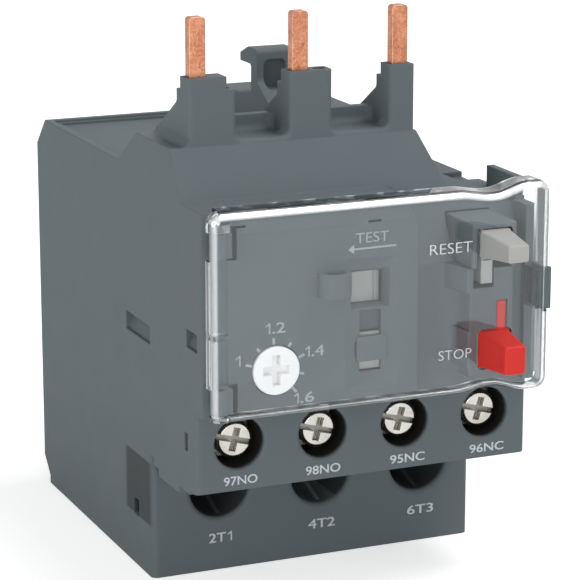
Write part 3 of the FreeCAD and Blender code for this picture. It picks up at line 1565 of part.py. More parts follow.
def contact_plate(number, leg_front):
    """An auxiliary terminal plate with a tail that ends in a fixed contact."""
    middle = auxiliary(number)
    front = S.aux_entry_back + 0.2
    plate = clamp(middle, S.aux_height, S.aux_chamber_half - 0.4, S.aux_chamber_half - 0.4, front,
                  S.leg_thick, S.aux_shank + S.turn_gap)
    tail = box(span(middle, S.leg_half), (front + S.leg_thick, leg_front + S.leg_thick),
               (TAIL_LOW, TAIL_LOW + S.leg_thick))
    leg = box(span(middle, S.leg_half), (leg_front, leg_front + S.leg_thick), (TAIL_LOW, CONTACT_TOP))
    return fuse(plate, tail, leg)


def make_contacts():
    node("no_contacts", group(*[contact_plate(n, S.no_leg_front) for n in (0, 1)]))
    node("nc_contacts", group(*[contact_plate(n, S.nc_leg_back - S.leg_thick) for n in (2, 3)]))


# ---------------------------------------------------------------- trip mechanism

def make_slide_bar():
    high = S.bar_low + S.bar_thick
    bar = Body()
    bar.pad("xy", rectangle((S.bar_left, BAR_RIGHT), (S.bar_front, S.bar_back), 0.5), S.bar_low, high)
    bar.pad("xy", rectangle((S.finger_across - 2.4, S.finger_across - 0.2), (S.finger_back - 0.5, S.bar_front + 1)),
            S.bar_low, high)
    for number in POLES:
        slot = (pole(number) - S.bimetal_thick / 2 - S.bar_travel - 0.3, pole(number) + S.bimetal_thick / 2 + 0.1)
        bar.pocket("xy", rectangle(slot, grown((S.bimetal_front, S.bimetal_front + S.bimetal_wide), 0.2)),
                   S.bar_low - 1, high + 1)
    finger = upright(S.finger_across, S.finger_back, S.finger_round, S.bar_low, high)
    node("slide_bar", fuse(bar.body, finger))


def make_trip_lever():
    """Rocker: the slide bar pushes its long arm, and its short arm pushes the contact carrier."""
    x, y = S.lever_across, S.lever_back
    hub = upright(x, y, S.lever_hub, LEVER_FOOT, S.lever_top)
    long_arm = box(span(x, S.lever_half), (y, y + S.lever_reach), (S.bar_low - 1, S.lever_top))
    short_arm = box((x - S.lever_short, x), span(y, S.lever_short_half), (LEVER_FOOT, LEVER_FOOT + S.lever_arm_tall))
    lever = cut(fuse(hub, long_arm, short_arm),
                upright(x, y, S.lever_pin + S.turn_gap, LEVER_FOOT - 1, S.lever_top + 1))
    node("trip_lever", lever)
    node("lever_pin", upright(x, y, S.lever_pin, LEVER_FOOT - S.pin_sunk, S.lever_top + 0.4))
    strip = box((x + S.lever_half, x + S.lever_half + 0.5), (y + S.lever_hub + 0.2, y + S.lever_reach),
                (S.bar_low - 1, S.lever_top))
    node("compensating_strip", strip)


def make_carrier():
    """Contact carrier with its two bridging contacts and the post that the rocker pushes."""
    back = S.carrier_front + S.carrier_thick
    high = CARRIER_LOW + S.carrier_tall
    post_front = S.lever_back + S.lever_short_half + S.slide_gap
    middle = S.lever_across - S.lever_short + 0.6
    carrier = Body()
    carrier.pad("xy", rectangle((auxiliary(0) - 1, auxiliary(3) + 1), (S.carrier_front, back)), CARRIER_LOW, high)
    post = span(middle, S.post_half)
    carrier.pad("xy", rectangle(post, (S.carrier_front + 1, post_front + S.post_thick)), CARRIER_LOW,
                LEVER_FOOT - S.slide_gap)
    carrier.pad("xy", rectangle(post, (post_front, post_front + S.post_thick)),
                LEVER_FOOT - S.slide_gap - 0.2, LEVER_FOOT + S.lever_arm_tall)
    node("contact_carrier", carrier)
    nc_front = S.nc_leg_back + 0.05
    no_front = S.no_leg_front - S.carrier_travel - S.bridge_contact_thick - 0.05
    for name, first, last, front in (("nc_bridge", 2, 3, nc_front), ("no_bridge", 0, 1, no_front)):
        strip = box((auxiliary(first) - S.leg_half, auxiliary(last) + S.leg_half),
                    (front, front + S.bridge_contact_thick), (CONTACT_TOP - S.bridge_drop, CARRIER_LOW))
        node(name, strip)


# ---------------------------------------------------------------- build and write

make_housing()
make_rear_cover()
make_clear_cover()
make_reset_hood()
make_reset()
make_stop()
make_dial()
make_test_slide()
make_flag()
make_blades()
make_heaters()
make_load_bars()
make_terminals()
make_contacts()
make_slide_bar()
make_trip_lever()
make_carrier()
doc.recompute()

faults = [thing.Label for thing in doc.Objects if {"Invalid", "Error"} & set(thing.State)]
faults += [thing.Label for thing in NODES if thing.Shape.isNull() or not thing.Shape.isValid()]
if faults:
    raise RuntimeError("these failed: " + ", ".join(faults))

os.makedirs("parts", exist_ok=True)
for thing in NODES:
    thing.Shape.exportStep("parts/%s.step" % thing.Label)
print(len(NODES), "nodes")
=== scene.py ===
"""Thermal overload relay: finishes, markings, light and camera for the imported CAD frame.

The frame is in metres, with x to the right, y to the back and z up from the base. Markings are placed in
millimetres from the left side face (x) and from the base (z), on one of the fronts named below (y).
"""
import json
import math

import bpy
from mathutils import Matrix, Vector


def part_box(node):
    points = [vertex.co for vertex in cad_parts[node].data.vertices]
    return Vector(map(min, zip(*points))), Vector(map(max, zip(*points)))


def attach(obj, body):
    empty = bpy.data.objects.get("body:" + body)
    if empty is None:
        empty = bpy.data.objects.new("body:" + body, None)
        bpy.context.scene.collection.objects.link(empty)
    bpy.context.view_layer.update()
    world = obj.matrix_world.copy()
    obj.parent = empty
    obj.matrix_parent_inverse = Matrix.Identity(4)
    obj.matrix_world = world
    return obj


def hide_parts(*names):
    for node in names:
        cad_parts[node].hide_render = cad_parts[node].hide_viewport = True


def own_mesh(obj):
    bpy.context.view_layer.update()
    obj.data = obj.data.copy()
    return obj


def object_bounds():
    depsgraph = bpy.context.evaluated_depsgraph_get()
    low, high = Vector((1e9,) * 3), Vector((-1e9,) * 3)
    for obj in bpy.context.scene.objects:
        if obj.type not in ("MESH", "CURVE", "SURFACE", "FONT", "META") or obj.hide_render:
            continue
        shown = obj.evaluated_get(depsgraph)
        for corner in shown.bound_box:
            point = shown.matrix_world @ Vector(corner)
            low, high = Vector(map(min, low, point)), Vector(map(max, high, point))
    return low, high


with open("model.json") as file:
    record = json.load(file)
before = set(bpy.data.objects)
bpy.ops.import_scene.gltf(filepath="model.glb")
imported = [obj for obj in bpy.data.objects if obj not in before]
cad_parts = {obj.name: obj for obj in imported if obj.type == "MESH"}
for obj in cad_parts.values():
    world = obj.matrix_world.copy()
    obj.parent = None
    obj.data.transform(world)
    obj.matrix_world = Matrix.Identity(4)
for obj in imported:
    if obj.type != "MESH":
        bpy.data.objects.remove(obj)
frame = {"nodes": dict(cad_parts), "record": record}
cad_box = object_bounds()
NODES = frame["nodes"]

MM = 0.001
SIDE_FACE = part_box("housing")[0].x
COVER_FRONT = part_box("clear_cover")[0].y
PANEL_FRONT = COVER_FRONT + 3.2 * MM
AUX_FRONT = PANEL_FRONT + 2.67 * MM
LOWER_FRONT = PANEL_FRONT + 18.2 * MM


def placed(name, data):
    """A new object in the scene that holds this data."""
    holder = bpy.data.objects.new(name, data)
    bpy.context.scene.collection.objects.link(holder)
    return holder


# ---------------------------------------------------------------- node tree helpers

# sockets of a Mix node that mixes colours
MIX_FACTOR, MIX_FIRST, MIX_SECOND, MIX_RESULT = 0, 6, 7, 2
# rays that show a surface to the eye, straight, mirrored or through the cover
EYE_RAYS = ("Is Camera Ray", "Is Glossy Ray", "Is Transmission Ray")
# how the painted shade in the wells fades in behind their front and out again, and softly ends round their rim,
# in millimetres
WELL_START, WELL_FULL, WELL_FADE, WELL_END = 0.2, 1.0, 9, 10
WELL_RIM = 0.2
# Spacing that counts the gaps between a row's wells. It suits the auxiliary wells. The power wells, 14.1 apart,
# come out as three gaps where there are two, so their mask misses much of the middle well.
WELL_SPACING = 11


class Shader:
    """A material's node tree, built up node by node."""

    def __init__(self, name):
        self.material = bpy.data.materials.new(name)
        self.material.use_nodes = True
        self.tree = self.material.node_tree
        self.tree.nodes.clear()
        here = self.add("ShaderNodeTexCoord").outputs
        self.place = here["Object"]
        self.normal = here["Normal"]

    def add(self, kind, settings=None, **inputs):
        """A node of this kind; inputs are values or sockets, named as in Blender with _ for a space."""
        node = self.tree.nodes.new(kind)
        for key, value in (settings or {}).items():
            setattr(node, key, value)
        for key, value in inputs.items():
            self.feed(node.inputs[key.replace("_", " ")], value)
        return node

    def feed(self, socket, value):
        if isinstance(value, bpy.types.NodeSocket):
            self.tree.links.new(value, socket)
        else:
            socket.default_value = value

    def math(self, operation, *values):
        node = self.add("ShaderNodeMath", {"operation": operation})
        for socket, value in zip(node.inputs, values):
            self.feed(socket, value)
        return node.outputs["Value"]

    def length(self, vector):
        return self.add("ShaderNodeVectorMath", {"operation": "LENGTH"}, Vector=vector).outputs["Value"]

    def spread(self, value, low, high, start=0.0, end=1.0):
        """The value carried from one range to another, held at its ends."""
        node = self.add("ShaderNodeMapRange", Value=value)
        for key, limit in (("From Min", start), ("From Max", end), ("To Min", low), ("To Max", high)):
            node.inputs[key].default_value = limit
        return node.outputs["Result"]

    def noise(self, size, detail=2.0, stretch=None):
        """Noise whose features are about this many millimetres across."""
        place = self.place
        if stretch:
            place = self.add("ShaderNodeMapping", Vector=place, Scale=stretch).outputs["Vector"]
        node = self.add("ShaderNodeTexNoise", Vector=place, Scale=1 / (size * MM), Detail=detail)
        return node.outputs["Fac"]

    def mix(self, factor, first, second):
        node = self.add("ShaderNodeMix", {"data_type": "RGBA"})
        self.feed(node.inputs[MIX_FACTOR], factor)
        self.feed(node.inputs[MIX_FIRST], first)
        self.feed(node.inputs[MIX_SECOND], second)
        return node.outputs[MIX_RESULT]

    def join(self, kind, first, second, **inputs):
        """The shader of a node of this kind, which takes two shaders."""
        node = self.add(kind, **inputs)
        ends = [socket for socket in node.inputs if socket.type == "SHADER"]
        self.feed(ends[0], first)
        self.feed(ends[1], second)
        return node.outputs["Shader"]

    def any_ray(self, kinds):
        """1 for a ray of any of these kinds, and 0 for others."""
        rays = self.add("ShaderNodeLightPath").outputs
        seen = rays[kinds[0]]
        for kind in kinds[1:]:
            seen = self.math("MAXIMUM", seen, rays[kind])
        return seen

    def shades(self, factor, colour, swing):
        """The colour, a little darker and lighter as the factor goes from 0 to 1."""
        dark = [channel * (1 - swing) for channel in colour] + [1]
        light = [min(1, channel * (1 + swing)) for channel in colour] + [1]
        return self.mix(factor, dark, light)

    def rounded(self, radius):
        """The normal, rounded over the edges."""
        return self.add("ShaderNodeBevel", {"samples": 6}, Radius=radius * MM).outputs["Normal"]

    def edges(self, radius):
        """(normal rounded over the edges, mask that is 1 on worn edges)."""
        rounded = self.rounded(radius)
        plain = self.add("ShaderNodeNewGeometry").outputs["Normal"]
        match = self.add("ShaderNodeVectorMath", {"operation": "DOT_PRODUCT"})
        self.feed(match.inputs[0], rounded)
        self.feed(match.inputs[1], plain)
        return rounded, self.spread(match.outputs["Value"], 1.0, 0.0, 0.82, 0.995)

    def bump(self, height, depth, normal):
        node = self.add("ShaderNodeBump", Height=height, Distance=depth * MM, Normal=normal)
        return node.outputs["Normal"]

    def wells(self, screws, front, radius):
        """Mask that is 1 inside a row of round wells in line with a node's screws, behind this front, where
        shade is painted.
        """
        low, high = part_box(screws)
        head = (high.z - low.z) / 2
        row = high.x - low.x - 2 * head
        pitch = row / round(row / (WELL_SPACING * MM))
        x, y, z = self.add("ShaderNodeSeparateXYZ", Vector=self.place).outputs
        across = self.math("WRAP", self.math("SUBTRACT", x, low.x + head), pitch / 2, -pitch / 2)
        offset = self.add("ShaderNodeCombineXYZ", X=across, Z=self.math("SUBTRACT", z, (low.z + high.z) / 2))
        inside = self.spread(self.length(offset.outputs["Vector"]), 1.0, 0.0, radius * MM,
                             (radius + WELL_RIM) * MM)
        deep = self.spread(y, 0.0, 1.0, front + WELL_START * MM, front + WELL_FULL * MM)
        near = self.spread(y, 1.0, 0.0, front + WELL_FADE * MM, front + WELL_END * MM)
        return self.math("MULTIPLY", inside, self.math("MULTIPLY", deep, near))

    def sunk(self, screws, start, end):
        """Mask that is 1 between two depths behind the foremost point of a node's screw heads, where the
        recesses' shade is painted.
        """
        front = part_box(screws)[0].y
        y = self.add("ShaderNodeSeparateXYZ", Vector=self.place).outputs["Y"]
        past_start = self.spread(y, 0.0, 1.0, front + start * MM, front + (start + 0.15) * MM)
        before_end = self.spread(y, 1.0, 0.0, front + end * MM, front + (end + 0.1) * MM)
        return self.math("MULTIPLY", past_start, before_end)

    def output(self, surface):
        self.add("ShaderNodeOutputMaterial", Surface=surface)
        return self.material


def plastic(name, colour, roughness, grain=0.14, grain_depth=0.0012, swing=0.03, edge_radius=0.18, worn=0.16,
            specular=0.5, painted_well_shade=()):
    """Moulded plastic: fine mould grain, faint flow marks, handling gloss, paler worn edges, painted shade deep
    in the wells.
    """
    shader = Shader(name)
    rounded, worn_edge = shader.edges(edge_radius)
    flow = shader.noise(14.0, 3.0, (1.0, 1.0, 0.45))
    speckle = shader.noise(grain * 1.6, 3.0)
    smears = shader.noise(4.5, 4.0)
    tones = shader.math("ADD", shader.math("MULTIPLY", flow, 0.8), shader.math("MULTIPLY", speckle, 0.2))
    colours = shader.shades(tones, colour, swing)
    scuffed = shader.math("MULTIPLY", worn_edge, shader.spread(smears, 0.2, worn * 2.2, 0.35, 0.7))
    pale = [min(1, channel * 1.4 + 0.04) for channel in colour] + [1]
    colours = shader.mix(scuffed, colours, pale)
    # painted shade: each row of terminal wells is darkened behind its front
    for screws, front, radius, shade in painted_well_shade:
        colours = shader.mix(shader.wells(screws, front, radius), colours, shade)
    coarse = shader.math("MULTIPLY", shader.noise(grain * 4, 1.0), 0.6)
    grains = shader.math("ADD", shader.noise(grain, 2.0), coarse)
    surface = shader.add(
        "ShaderNodeBsdfPrincipled",
        Base_Color=colours,
        Roughness=shader.spread(smears, roughness - 0.03, roughness + 0.04, 0.3, 0.7),
        Specular_IOR_Level=specular,
        Normal=shader.bump(grains, grain_depth, rounded),
    )
    return shader.output(surface.outputs["BSDF"])


def metal(name, colour, tarnish, roughness, streak, streak_size=0.12, streak_depth=0.006, stain=0.35,
          shaded_recesses=()):
    """Drawn or stamped metal: fine streaks, stains in the low places, bright worn edges and painted shade in
    the screw recesses.
    """
    shader = Shader(name)
    rounded, worn_edge = shader.edges(0.12)
    stretch = tuple(1 / factor for factor in streak)
    lines = shader.noise(streak_size, 3.0, stretch)
    clouds = shader.noise(2.2, 5.0)
    dulled = shader.spread(clouds, 0.0, stain, 0.42, 0.72)
    body = shader.mix(dulled, shader.shades(lines, colour, 0.10), list(tarnish) + [1])
    # painted shade: the screw heads' recesses are darkened from 0.45 to 2 mm behind their front
    for screws in shaded_recesses:
        body = shader.mix(shader.sunk(screws, 0.45, 2.0), body, [0.4 * channel for channel in colour] + [1])
    bright = [min(1, channel * 1.12 + 0.04) for channel in colour] + [1]
    mottle = shader.math("ADD", lines, clouds)
    surface = shader.add(
        "ShaderNodeBsdfPrincipled",
        Base_Color=shader.mix(shader.math("MULTIPLY", worn_edge, 0.7), body, bright),
        Metallic=1.0,
        Roughness=shader.spread(mottle, roughness - 0.07, roughness + 0.12, 0.7, 1.3),
        Normal=shader.bump(lines, streak_depth, rounded),
    )
    return shader.output(surface.outputs["BSDF"])


def clear(name):
    """Clear moulded polycarbonate, with hair scratches, painted dark reflection streaks on the skirts and a
    painted highlight on the round upper edge.
    """
    shader = Shader(name)
    rounded = shader.rounded(0.15)
    scratches = shader.noise(0.5, 2.0, (0.06, 1.0, 1.0))
    across, facing, rising = shader.add("ShaderNodeSeparateXYZ", Vector=shader.normal).outputs
    facing = shader.math("ABSOLUTE", facing)
    # painted reflections: the glass of the skirts is darkened in streaks, standing in for the dark reflections
    # seen in thick clear edges
    streaks = shader.spread(shader.noise(1.6, 1.0, (1.0, 1.0, 0.04)), 0.0, 1.0, 0.50, 0.56)
    skirt_painted_streaks = shader.mix(streaks, (0.14, 0.155, 0.165, 1), (0.80, 0.82, 0.83, 1))
    tint_and_painted_streaks = shader.mix(shader.spread(facing, 1.0, 0.0, 0.15, 0.75), (0.97, 0.985, 0.99, 1), skirt_painted_streaks)
    glass = shader.add(
        "ShaderNodeBsdfPrincipled",
        Base_Color=tint_and_painted_streaks,
        Roughness=shader.spread(scratches, 0.0, 0.06, 0.74, 0.80),
        IOR=1.45,
        Specular_IOR_Level=0.12,
        Transmission_Weight=1.0,
    )
    # painted highlight: a white mirror finish laid over the rounded upper edges, and a little over the left
    # round, so they show a bright band
    highlight_mirror = shader.add(
        "ShaderNodeBsdfPrincipled",
        Base_Color=(0.95, 0.96, 0.965, 1),
        Metallic=1.0,
        Roughness=shader.spread(scratches, 0.12, 0.22, 0.4, 0.8),
        Normal=rounded,
    )
    turning = shader.math("MULTIPLY", shader.spread(facing, 0.0, 1.0, 0.30, 0.62),
                          shader.spread(facing, 1.0, 0.0, 0.86, 0.96))
    upper = shader.math("MAXIMUM", shader.spread(rising, 0.10, 0.62, 0.1, 0.4),
                        shader.spread(across, 0.28, 0.0, -0.5, -0.2))
    glass_and_painted_highlight = shader.join("ShaderNodeMixShader", glass.outputs["BSDF"], highlight_mirror.outputs["BSDF"],
                        Fac=shader.math("MULTIPLY", turning, upper))
    passing = shader.add("ShaderNodeBsdfTransparent", Color=(0.96, 0.98, 0.99, 1))
    return shader.output(shader.join("ShaderNodeMixShader", glass_and_painted_highlight, passing.outputs["BSDF"],
                                     Fac=shader.any_ray(("Is Shadow Ray", "Is Diffuse Ray"))))


def copper(name):
    """Rolled bare copper: rolling streaks, oxide speckle, pits, and brighter rubbed edges."""
    shader = Shader(name)
    rounded, worn_edge = shader.edges(0.16)
    speckle = shader.noise(0.22, 4.0)
    clouds = shader.noise(1.1, 4.0, (1.0, 1.0, 0.5))
    pitted = shader.spread(shader.noise(0.75, 1.0, (1.0, 1.0, 0.8)), 0.0, 1.0, 0.66, 0.74)
    tones = shader.math("ADD", shader.math("MULTIPLY", speckle, 0.55), shader.math("MULTIPLY", clouds, 0.45))
    body = shader.mix(shader.spread(tones, 0.0, 1.0, 0.36, 0.64), (0.37, 0.130, 0.066, 1),
                      (0.62, 0.295, 0.178, 1))
    body = shader.mix(shader.math("MULTIPLY", pitted, 0.6), body, (0.24, 0.10, 0.065, 1))
    body = shader.mix(shader.math("MULTIPLY", worn_edge, 0.5), body, (0.86, 0.52, 0.38, 1))
    height = shader.math("SUBTRACT", shader.math("MULTIPLY", speckle, 0.35), pitted)
    surface = shader.add(
        "ShaderNodeBsdfPrincipled",
        Base_Color=body,
        Metallic=1.0,
        Roughness=shader.spread(tones, 0.50, 0.36, 0.3, 0.7),
        Normal=shader.bump(height, 0.03, rounded),
    )
    return shader.output(surface.outputs["BSDF"])


# ---------------------------------------------------------------- finishes

# (screws in the wells, front that the wells start at, radius in millimetres, colour of the painted shade)
# painted shade inside the terminal wells: near black for the auxiliary row, dark grey for the power row
PAINTED_WELL_SHADE = (("aux_screws", AUX_FRONT, 3.3, (0.014, 0.013, 0.012, 1)),
              ("power_screws", LOWER_FRONT, 4.1, (0.050, 0.057, 0.060, 1)))

FINISHES = {
    "housing_plastic": plastic("housing_plastic", (0.122, 0.146, 0.155), 0.62, edge_radius=0.3,
                               specular=0.10, painted_well_shade=PAINTED_WELL_SHADE),
    "clear_plastic": clear("clear_plastic"),
    "grey_button": plastic("grey_button", (0.41, 0.41, 0.395), 0.50, swing=0.02, edge_radius=0.3, worn=0.1,
                           specular=0.3),
    "red_button": plastic("red_button", (0.66, 0.030, 0.022), 0.48, swing=0.03, edge_radius=0.3, worn=0.08,
                          specular=0.25),
    "white_dial": plastic("white_dial", (0.98, 0.955, 0.945), 0.40, swing=0.01, worn=0.02),
    "inner_plastic": plastic("inner_plastic", (0.62, 0.58, 0.48), 0.5, 0.2, 0.01, 0.05),
    "plated_steel": metal("plated_steel", (0.60, 0.585, 0.54), (0.34, 0.32, 0.28), 0.26, (1.0, 1.0, 1.0),
                          0.25, 0.012, 0.45, shaded_recesses=("aux_screws", "power_screws")),
    "copper": copper("copper"),
    "brass": metal("brass", (0.80, 0.60, 0.28), (0.45, 0.32, 0.14), 0.30, (6.0, 1.0, 1.0)),
    "heater_alloy": metal("heater_alloy", (0.42, 0.39, 0.36), (0.20, 0.17, 0.15), 0.45, (6.0, 1.0, 1.0)),
    "bimetal": metal("bimetal", (0.62, 0.57, 0.50), (0.40, 0.34, 0.28), 0.34, (1.0, 1.0, 10.0)),
}
PANEL_INK = plastic("panel_ink", (0.40, 0.45, 0.46), 0.6, swing=0.02, worn=0.0, specular=0.2)
TERMINAL_INK = plastic("terminal_ink", (0.62, 0.67, 0.68), 0.6, swing=0.02, worn=0.0, specular=0.2)
COVER_INK = plastic("cover_ink", (0.80, 0.83, 0.84), 0.6, swing=0.02, worn=0.0, specular=0.2)

for piece in frame["record"]["subparts"]:
    holder = NODES[piece["node"]].data.materials
    holder.clear()
    holder.append(FINISHES[piece["material_slot"]])


# ---------------------------------------------------------------- markings

INK_DEPTH = 0.03
# how much bolder or finer than the font the letters are drawn
DIAL_WEIGHT, TERMINAL_WEIGHT, COVER_WEIGHT = 0.012, 0.014, -0.008


def stick(name, mesh, ink, body):
    """Print a marking's mesh in this ink on the body that carries it."""
    mesh.update()
    mesh.materials.clear()
    mesh.materials.append(ink)
    piece = placed(name, mesh)
    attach(piece, body)


def printed(name, words, left, right, base, cap, front, ink, body="base", weight=0.0):
    """Words whose capitals stand between two heights, stretched between two places across."""
    curve = bpy.data.curves.new(name, "FONT")
    curve.body = words
    curve.extrude = 0.5
    curve.offset = weight
    curve.resolution_u = 4
    draft = placed(name, curve)
    bpy.context.view_layer.update()
    mesh = bpy.data.meshes.new_from_object(draft.evaluated_get(bpy.context.evaluated_depsgraph_get()))
    bpy.data.objects.remove(draft)
    low = [min(vertex.co[axis] for vertex in mesh.vertices) for axis in range(3)]
    high = [max(vertex.co[axis] for vertex in mesh.vertices) for axis in range(3)]
    across = (right - left) * MM / (high[0] - low[0])
    up = (cap - base) * MM / (high[1] - low[1])
    deep = INK_DEPTH * MM / (high[2] - low[2])
    for vertex in mesh.vertices:
        x, y, z = vertex.co
        vertex.co = (
            SIDE_FACE + left * MM + (x - low[0]) * across,
            front - (z - low[2]) * deep,
            base * MM + (y - low[1]) * up,
        )
    stick(name, mesh, ink, body)


def plate(name, outline, front, ink):
    """A thin shape printed on the housing, from (x, z) corners."""
    count = len(outline)
    ring = [(SIDE_FACE + x * MM, z * MM) for x, z in outline]
    vertices = [(x, front - INK_DEPTH * MM, z) for x, z in ring] + [(x, front, z) for x, z in ring]
    faces = [tuple(range(count)), tuple(reversed(range(count, 2 * count)))]
    faces += [(i, count + i, count + (i + 1) % count, (i + 1) % count) for i in range(count)]
    mesh = bpy.data.meshes.new(name)
    mesh.from_pydata(vertices, [], faces)
    stick(name, mesh, ink, "base")


def one(name, left, base, cap, front, ink):
    """The numeral 1, with its flag, as the marking's font draws it."""
    tall = cap - base
    stem = 0.15 * tall
    flag = 0.30 * tall
    plate(name, [(left + flag, base), (left + flag + stem, base), (left + flag + stem, cap),
                 (left + flag + 0.3 * stem, cap), (left, cap - 0.24 * tall), (left, cap - 0.37 * tall),
                 (left + flag, cap - 0.20 * tall)], front, ink)


DIAL_LOW, DIAL_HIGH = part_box("current_dial")
DIAL_X = ((DIAL_LOW.x + DIAL_HIGH.x) / 2 - SIDE_FACE) / MM
DIAL_Z = (DIAL_LOW.z + DIAL_HIGH.z) / 2 / MM
TICKS = 7
FIRST_TICK = 165
TICK_STEP = 35.5
TICK_START, LONG_TICK_END, SHORT_TICK_END = 3.2, 4.05, 3.8
TICK_HALF = 0.17

for number in range(TICKS):
    turn = math.radians(FIRST_TICK - TICK_STEP * number)
    along = Vector((math.cos(turn), math.sin(turn)))
    side = Vector((-along.y, along.x)) * TICK_HALF
    end = LONG_TICK_END if number % 2 == 0 else SHORT_TICK_END
    middle = Vector((DIAL_X, DIAL_Z))
    corners = [middle + along * TICK_START - side, middle + along * end - side,
               middle + along * end + side, middle + along * TICK_START + side]
    plate("dial_tick_%d" % number, [tuple(corner) for corner in corners], PANEL_FRONT, PANEL_INK)

# (number, left and right edge and foot, from the dial's middle)
NUMBERS = (("1", -5.15, 0, 0.95), ("1.2", -1.3, 1.25, 4.55), ("1.4", 3.85, 6.35, 1.2),
           ("1.6", 2.4, 5.05, -4.5))
NUMBER_TALL = 1.35
ONE_WIDE = 0.82

for words, left, right, base in NUMBERS:
    name = "dial_number_" + words.replace(".", "_")
    foot = DIAL_Z + base
    one(name + "_one", DIAL_X + left, foot, foot + NUMBER_TALL, PANEL_FRONT, PANEL_INK)
    if len(words) > 1:
        printed(name, words[1:], DIAL_X + left + ONE_WIDE, DIAL_X + right, foot, foot + NUMBER_TALL,
                PANEL_FRONT, PANEL_INK, weight=DIAL_WEIGHT)

# foot and top of each row of terminal markings
AUX_LETTERS = (16.7, 17.85)
POWER_LETTERS = (3.7, 4.97)

printed("marking_test", "TEST", 19.8, 24.2, 46.17, 47.45, PANEL_FRONT, PANEL_INK)
plate("test_arrow", [(18.82, 45.48), (19.6, 44.90), (19.6, 45.36), (25.21, 45.41), (25.21, 45.65),
                     (19.6, 45.60), (19.6, 46.10)], PANEL_FRONT, PANEL_INK)
printed("marking_reset", "RESET", 28.25, 34.0, 44.56, 45.88, COVER_FRONT, COVER_INK, "cover", COVER_WEIGHT)
printed("marking_stop", "STOP", 29.61, 34.1, 31.22, 32.43, COVER_FRONT, COVER_INK, "cover", COVER_WEIGHT)
for words, left, right in (("97NO", 3.69, 8.12), ("98NO", 14.55, 19.22), ("95NC", 26.0, 30.8),
                           ("96NC", 37.1, 41.95)):
    printed("marking_" + words.lower(), words, left, right, *AUX_LETTERS, AUX_FRONT, TERMINAL_INK,
            weight=TERMINAL_WEIGHT)
printed("marking_2t1", "2T", 7.74, 10.1, *POWER_LETTERS, LOWER_FRONT, TERMINAL_INK, weight=TERMINAL_WEIGHT)
one("marking_2t1_one", 10.35, *POWER_LETTERS, LOWER_FRONT, TERMINAL_INK)
for words, left, right in (("4T2", 21.67, 25.49), ("6T3", 35.99, 39.83)):
    printed("marking_" + words.lower(), words, left, right, *POWER_LETTERS, LOWER_FRONT, TERMINAL_INK,
            weight=TERMINAL_WEIGHT)


# ---------------------------------------------------------------- return springs


def coil(button):
    """A button's return spring, copied from its CAD node onto the base, with the node hidden."""
    node = button + "_spring"
    piece = placed(node + "_coil", NODES[node].data.copy())
    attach(piece, "base")
    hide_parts(node)
    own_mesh(piece)


coil("reset")
coil("stop")


# ---------------------------------------------------------------- floor, light and camera

FLOOR_HALF = 3.0
FLOOR_DROP = 0.00005
# the floor's glow near the relay and far away, and the distances between which it grows
GLOW_NEAR, GLOW_FAR = 0.45, 0.68
GLOW_START, GLOW_END = 0.3, 1.2
# the world's brightness as a light and as it is seen
WORLD_LIGHT, WORLD_SEEN = 0.37, 1.0
LAMP_AIM = (0, 0, 0.035)
CAMERA_PLACE = (-0.12847, -0.30007, 0.11670)
CAMERA_DOWN = 14.22
CAMERA_TURN = 23.16


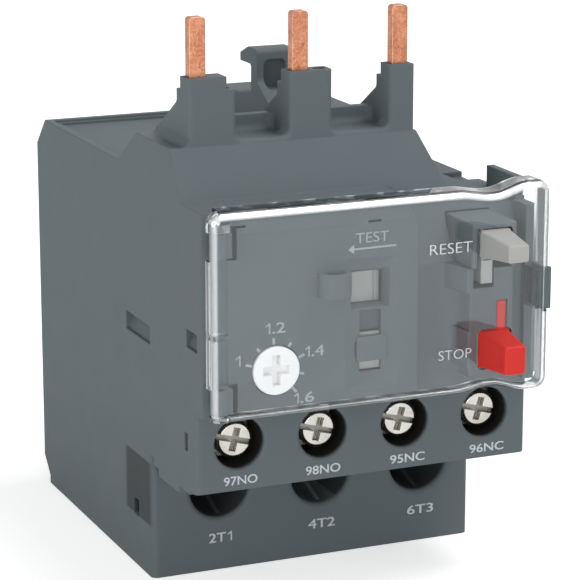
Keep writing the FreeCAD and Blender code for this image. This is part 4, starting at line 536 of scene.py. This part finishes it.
def floor():
    """A pale floor that reads as white, near and far, and keeps the relay's soft shadow."""
    drop = cad_box[0][2] - FLOOR_DROP
    corners = [(-FLOOR_HALF, -FLOOR_HALF, drop), (FLOOR_HALF, -FLOOR_HALF, drop),
               (FLOOR_HALF, FLOOR_HALF, drop), (-FLOOR_HALF, FLOOR_HALF, drop)]
    mesh = bpy.data.meshes.new("floor")
    mesh.from_pydata(corners, [], [(0, 1, 2, 3)])
    piece = placed("floor", mesh)
    shader = Shader("floor_paper")
    paper = shader.add("ShaderNodeBsdfDiffuse", Color=(0.90, 0.90, 0.90, 1), Roughness=0.6)
    strength = shader.spread(shader.length(shader.place), GLOW_NEAR, GLOW_FAR, GLOW_START, GLOW_END)
    glow = shader.add("ShaderNodeEmission", Color=(1, 1, 1, 1),
                      Strength=shader.math("MULTIPLY", shader.any_ray(EYE_RAYS), strength))
    both = shader.join("ShaderNodeAddShader", paper.outputs["BSDF"], glow.outputs["Emission"])
    mesh.materials.append(shader.output(both))


def studio():
    """A white world that lights the relay more weakly than it looks."""
    world = bpy.data.worlds.new("studio")
    bpy.context.scene.world = world
    world.use_nodes = True
    tree = world.node_tree
    tree.nodes.clear()
    rays = tree.nodes.new("ShaderNodeLightPath").outputs
    seen = rays[EYE_RAYS[0]]
    for ray in EYE_RAYS[1:]:
        either = tree.nodes.new("ShaderNodeMath")
        either.operation = "MAXIMUM"
        tree.links.new(seen, either.inputs[0])
        tree.links.new(rays[ray], either.inputs[1])
        seen = either.outputs["Value"]
    level = tree.nodes.new("ShaderNodeMapRange")
    level.inputs["To Min"].default_value = WORLD_LIGHT
    level.inputs["To Max"].default_value = WORLD_SEEN
    tree.links.new(seen, level.inputs["Value"])
    background = tree.nodes.new("ShaderNodeBackground")
    background.inputs["Color"].default_value = (1, 1, 1, 1)
    tree.links.new(level.outputs["Result"], background.inputs["Strength"])
    output = tree.nodes.new("ShaderNodeOutputWorld")
    tree.links.new(background.outputs["Background"], output.inputs["Surface"])


def lamp(name, place, size, power):
    """A square soft box that faces the relay."""
    light = bpy.data.lights.new(name, "AREA")
    light.size = size
    light.energy = power
    holder = placed(name, light)
    holder.location = place
    aim = Vector(LAMP_AIM) - Vector(place)
    holder.rotation_euler = aim.to_track_quat("-Z", "Y").to_euler()


def camera():
    lens = bpy.data.cameras.new("camera")
    lens.sensor_width = 36
    lens.lens = 159.67
    lens.clip_start = 0.01
    holder = placed("camera", lens)
    holder.location = CAMERA_PLACE
    holder.rotation_euler = (math.radians(90 - CAMERA_DOWN), 0, math.radians(-CAMERA_TURN))
    bpy.context.scene.camera = holder


floor()
studio()
lamp("ceiling", (0.25, -0.10, 0.70), 0.35, 3.0)
lamp("left", (-0.68, -0.25, 0.20), 0.5, 2.0)
lamp("front", (-0.15, -0.80, 0.04), 0.4, 3.0)
camera()
bpy.context.scene.view_settings.view_transform = "Standard"
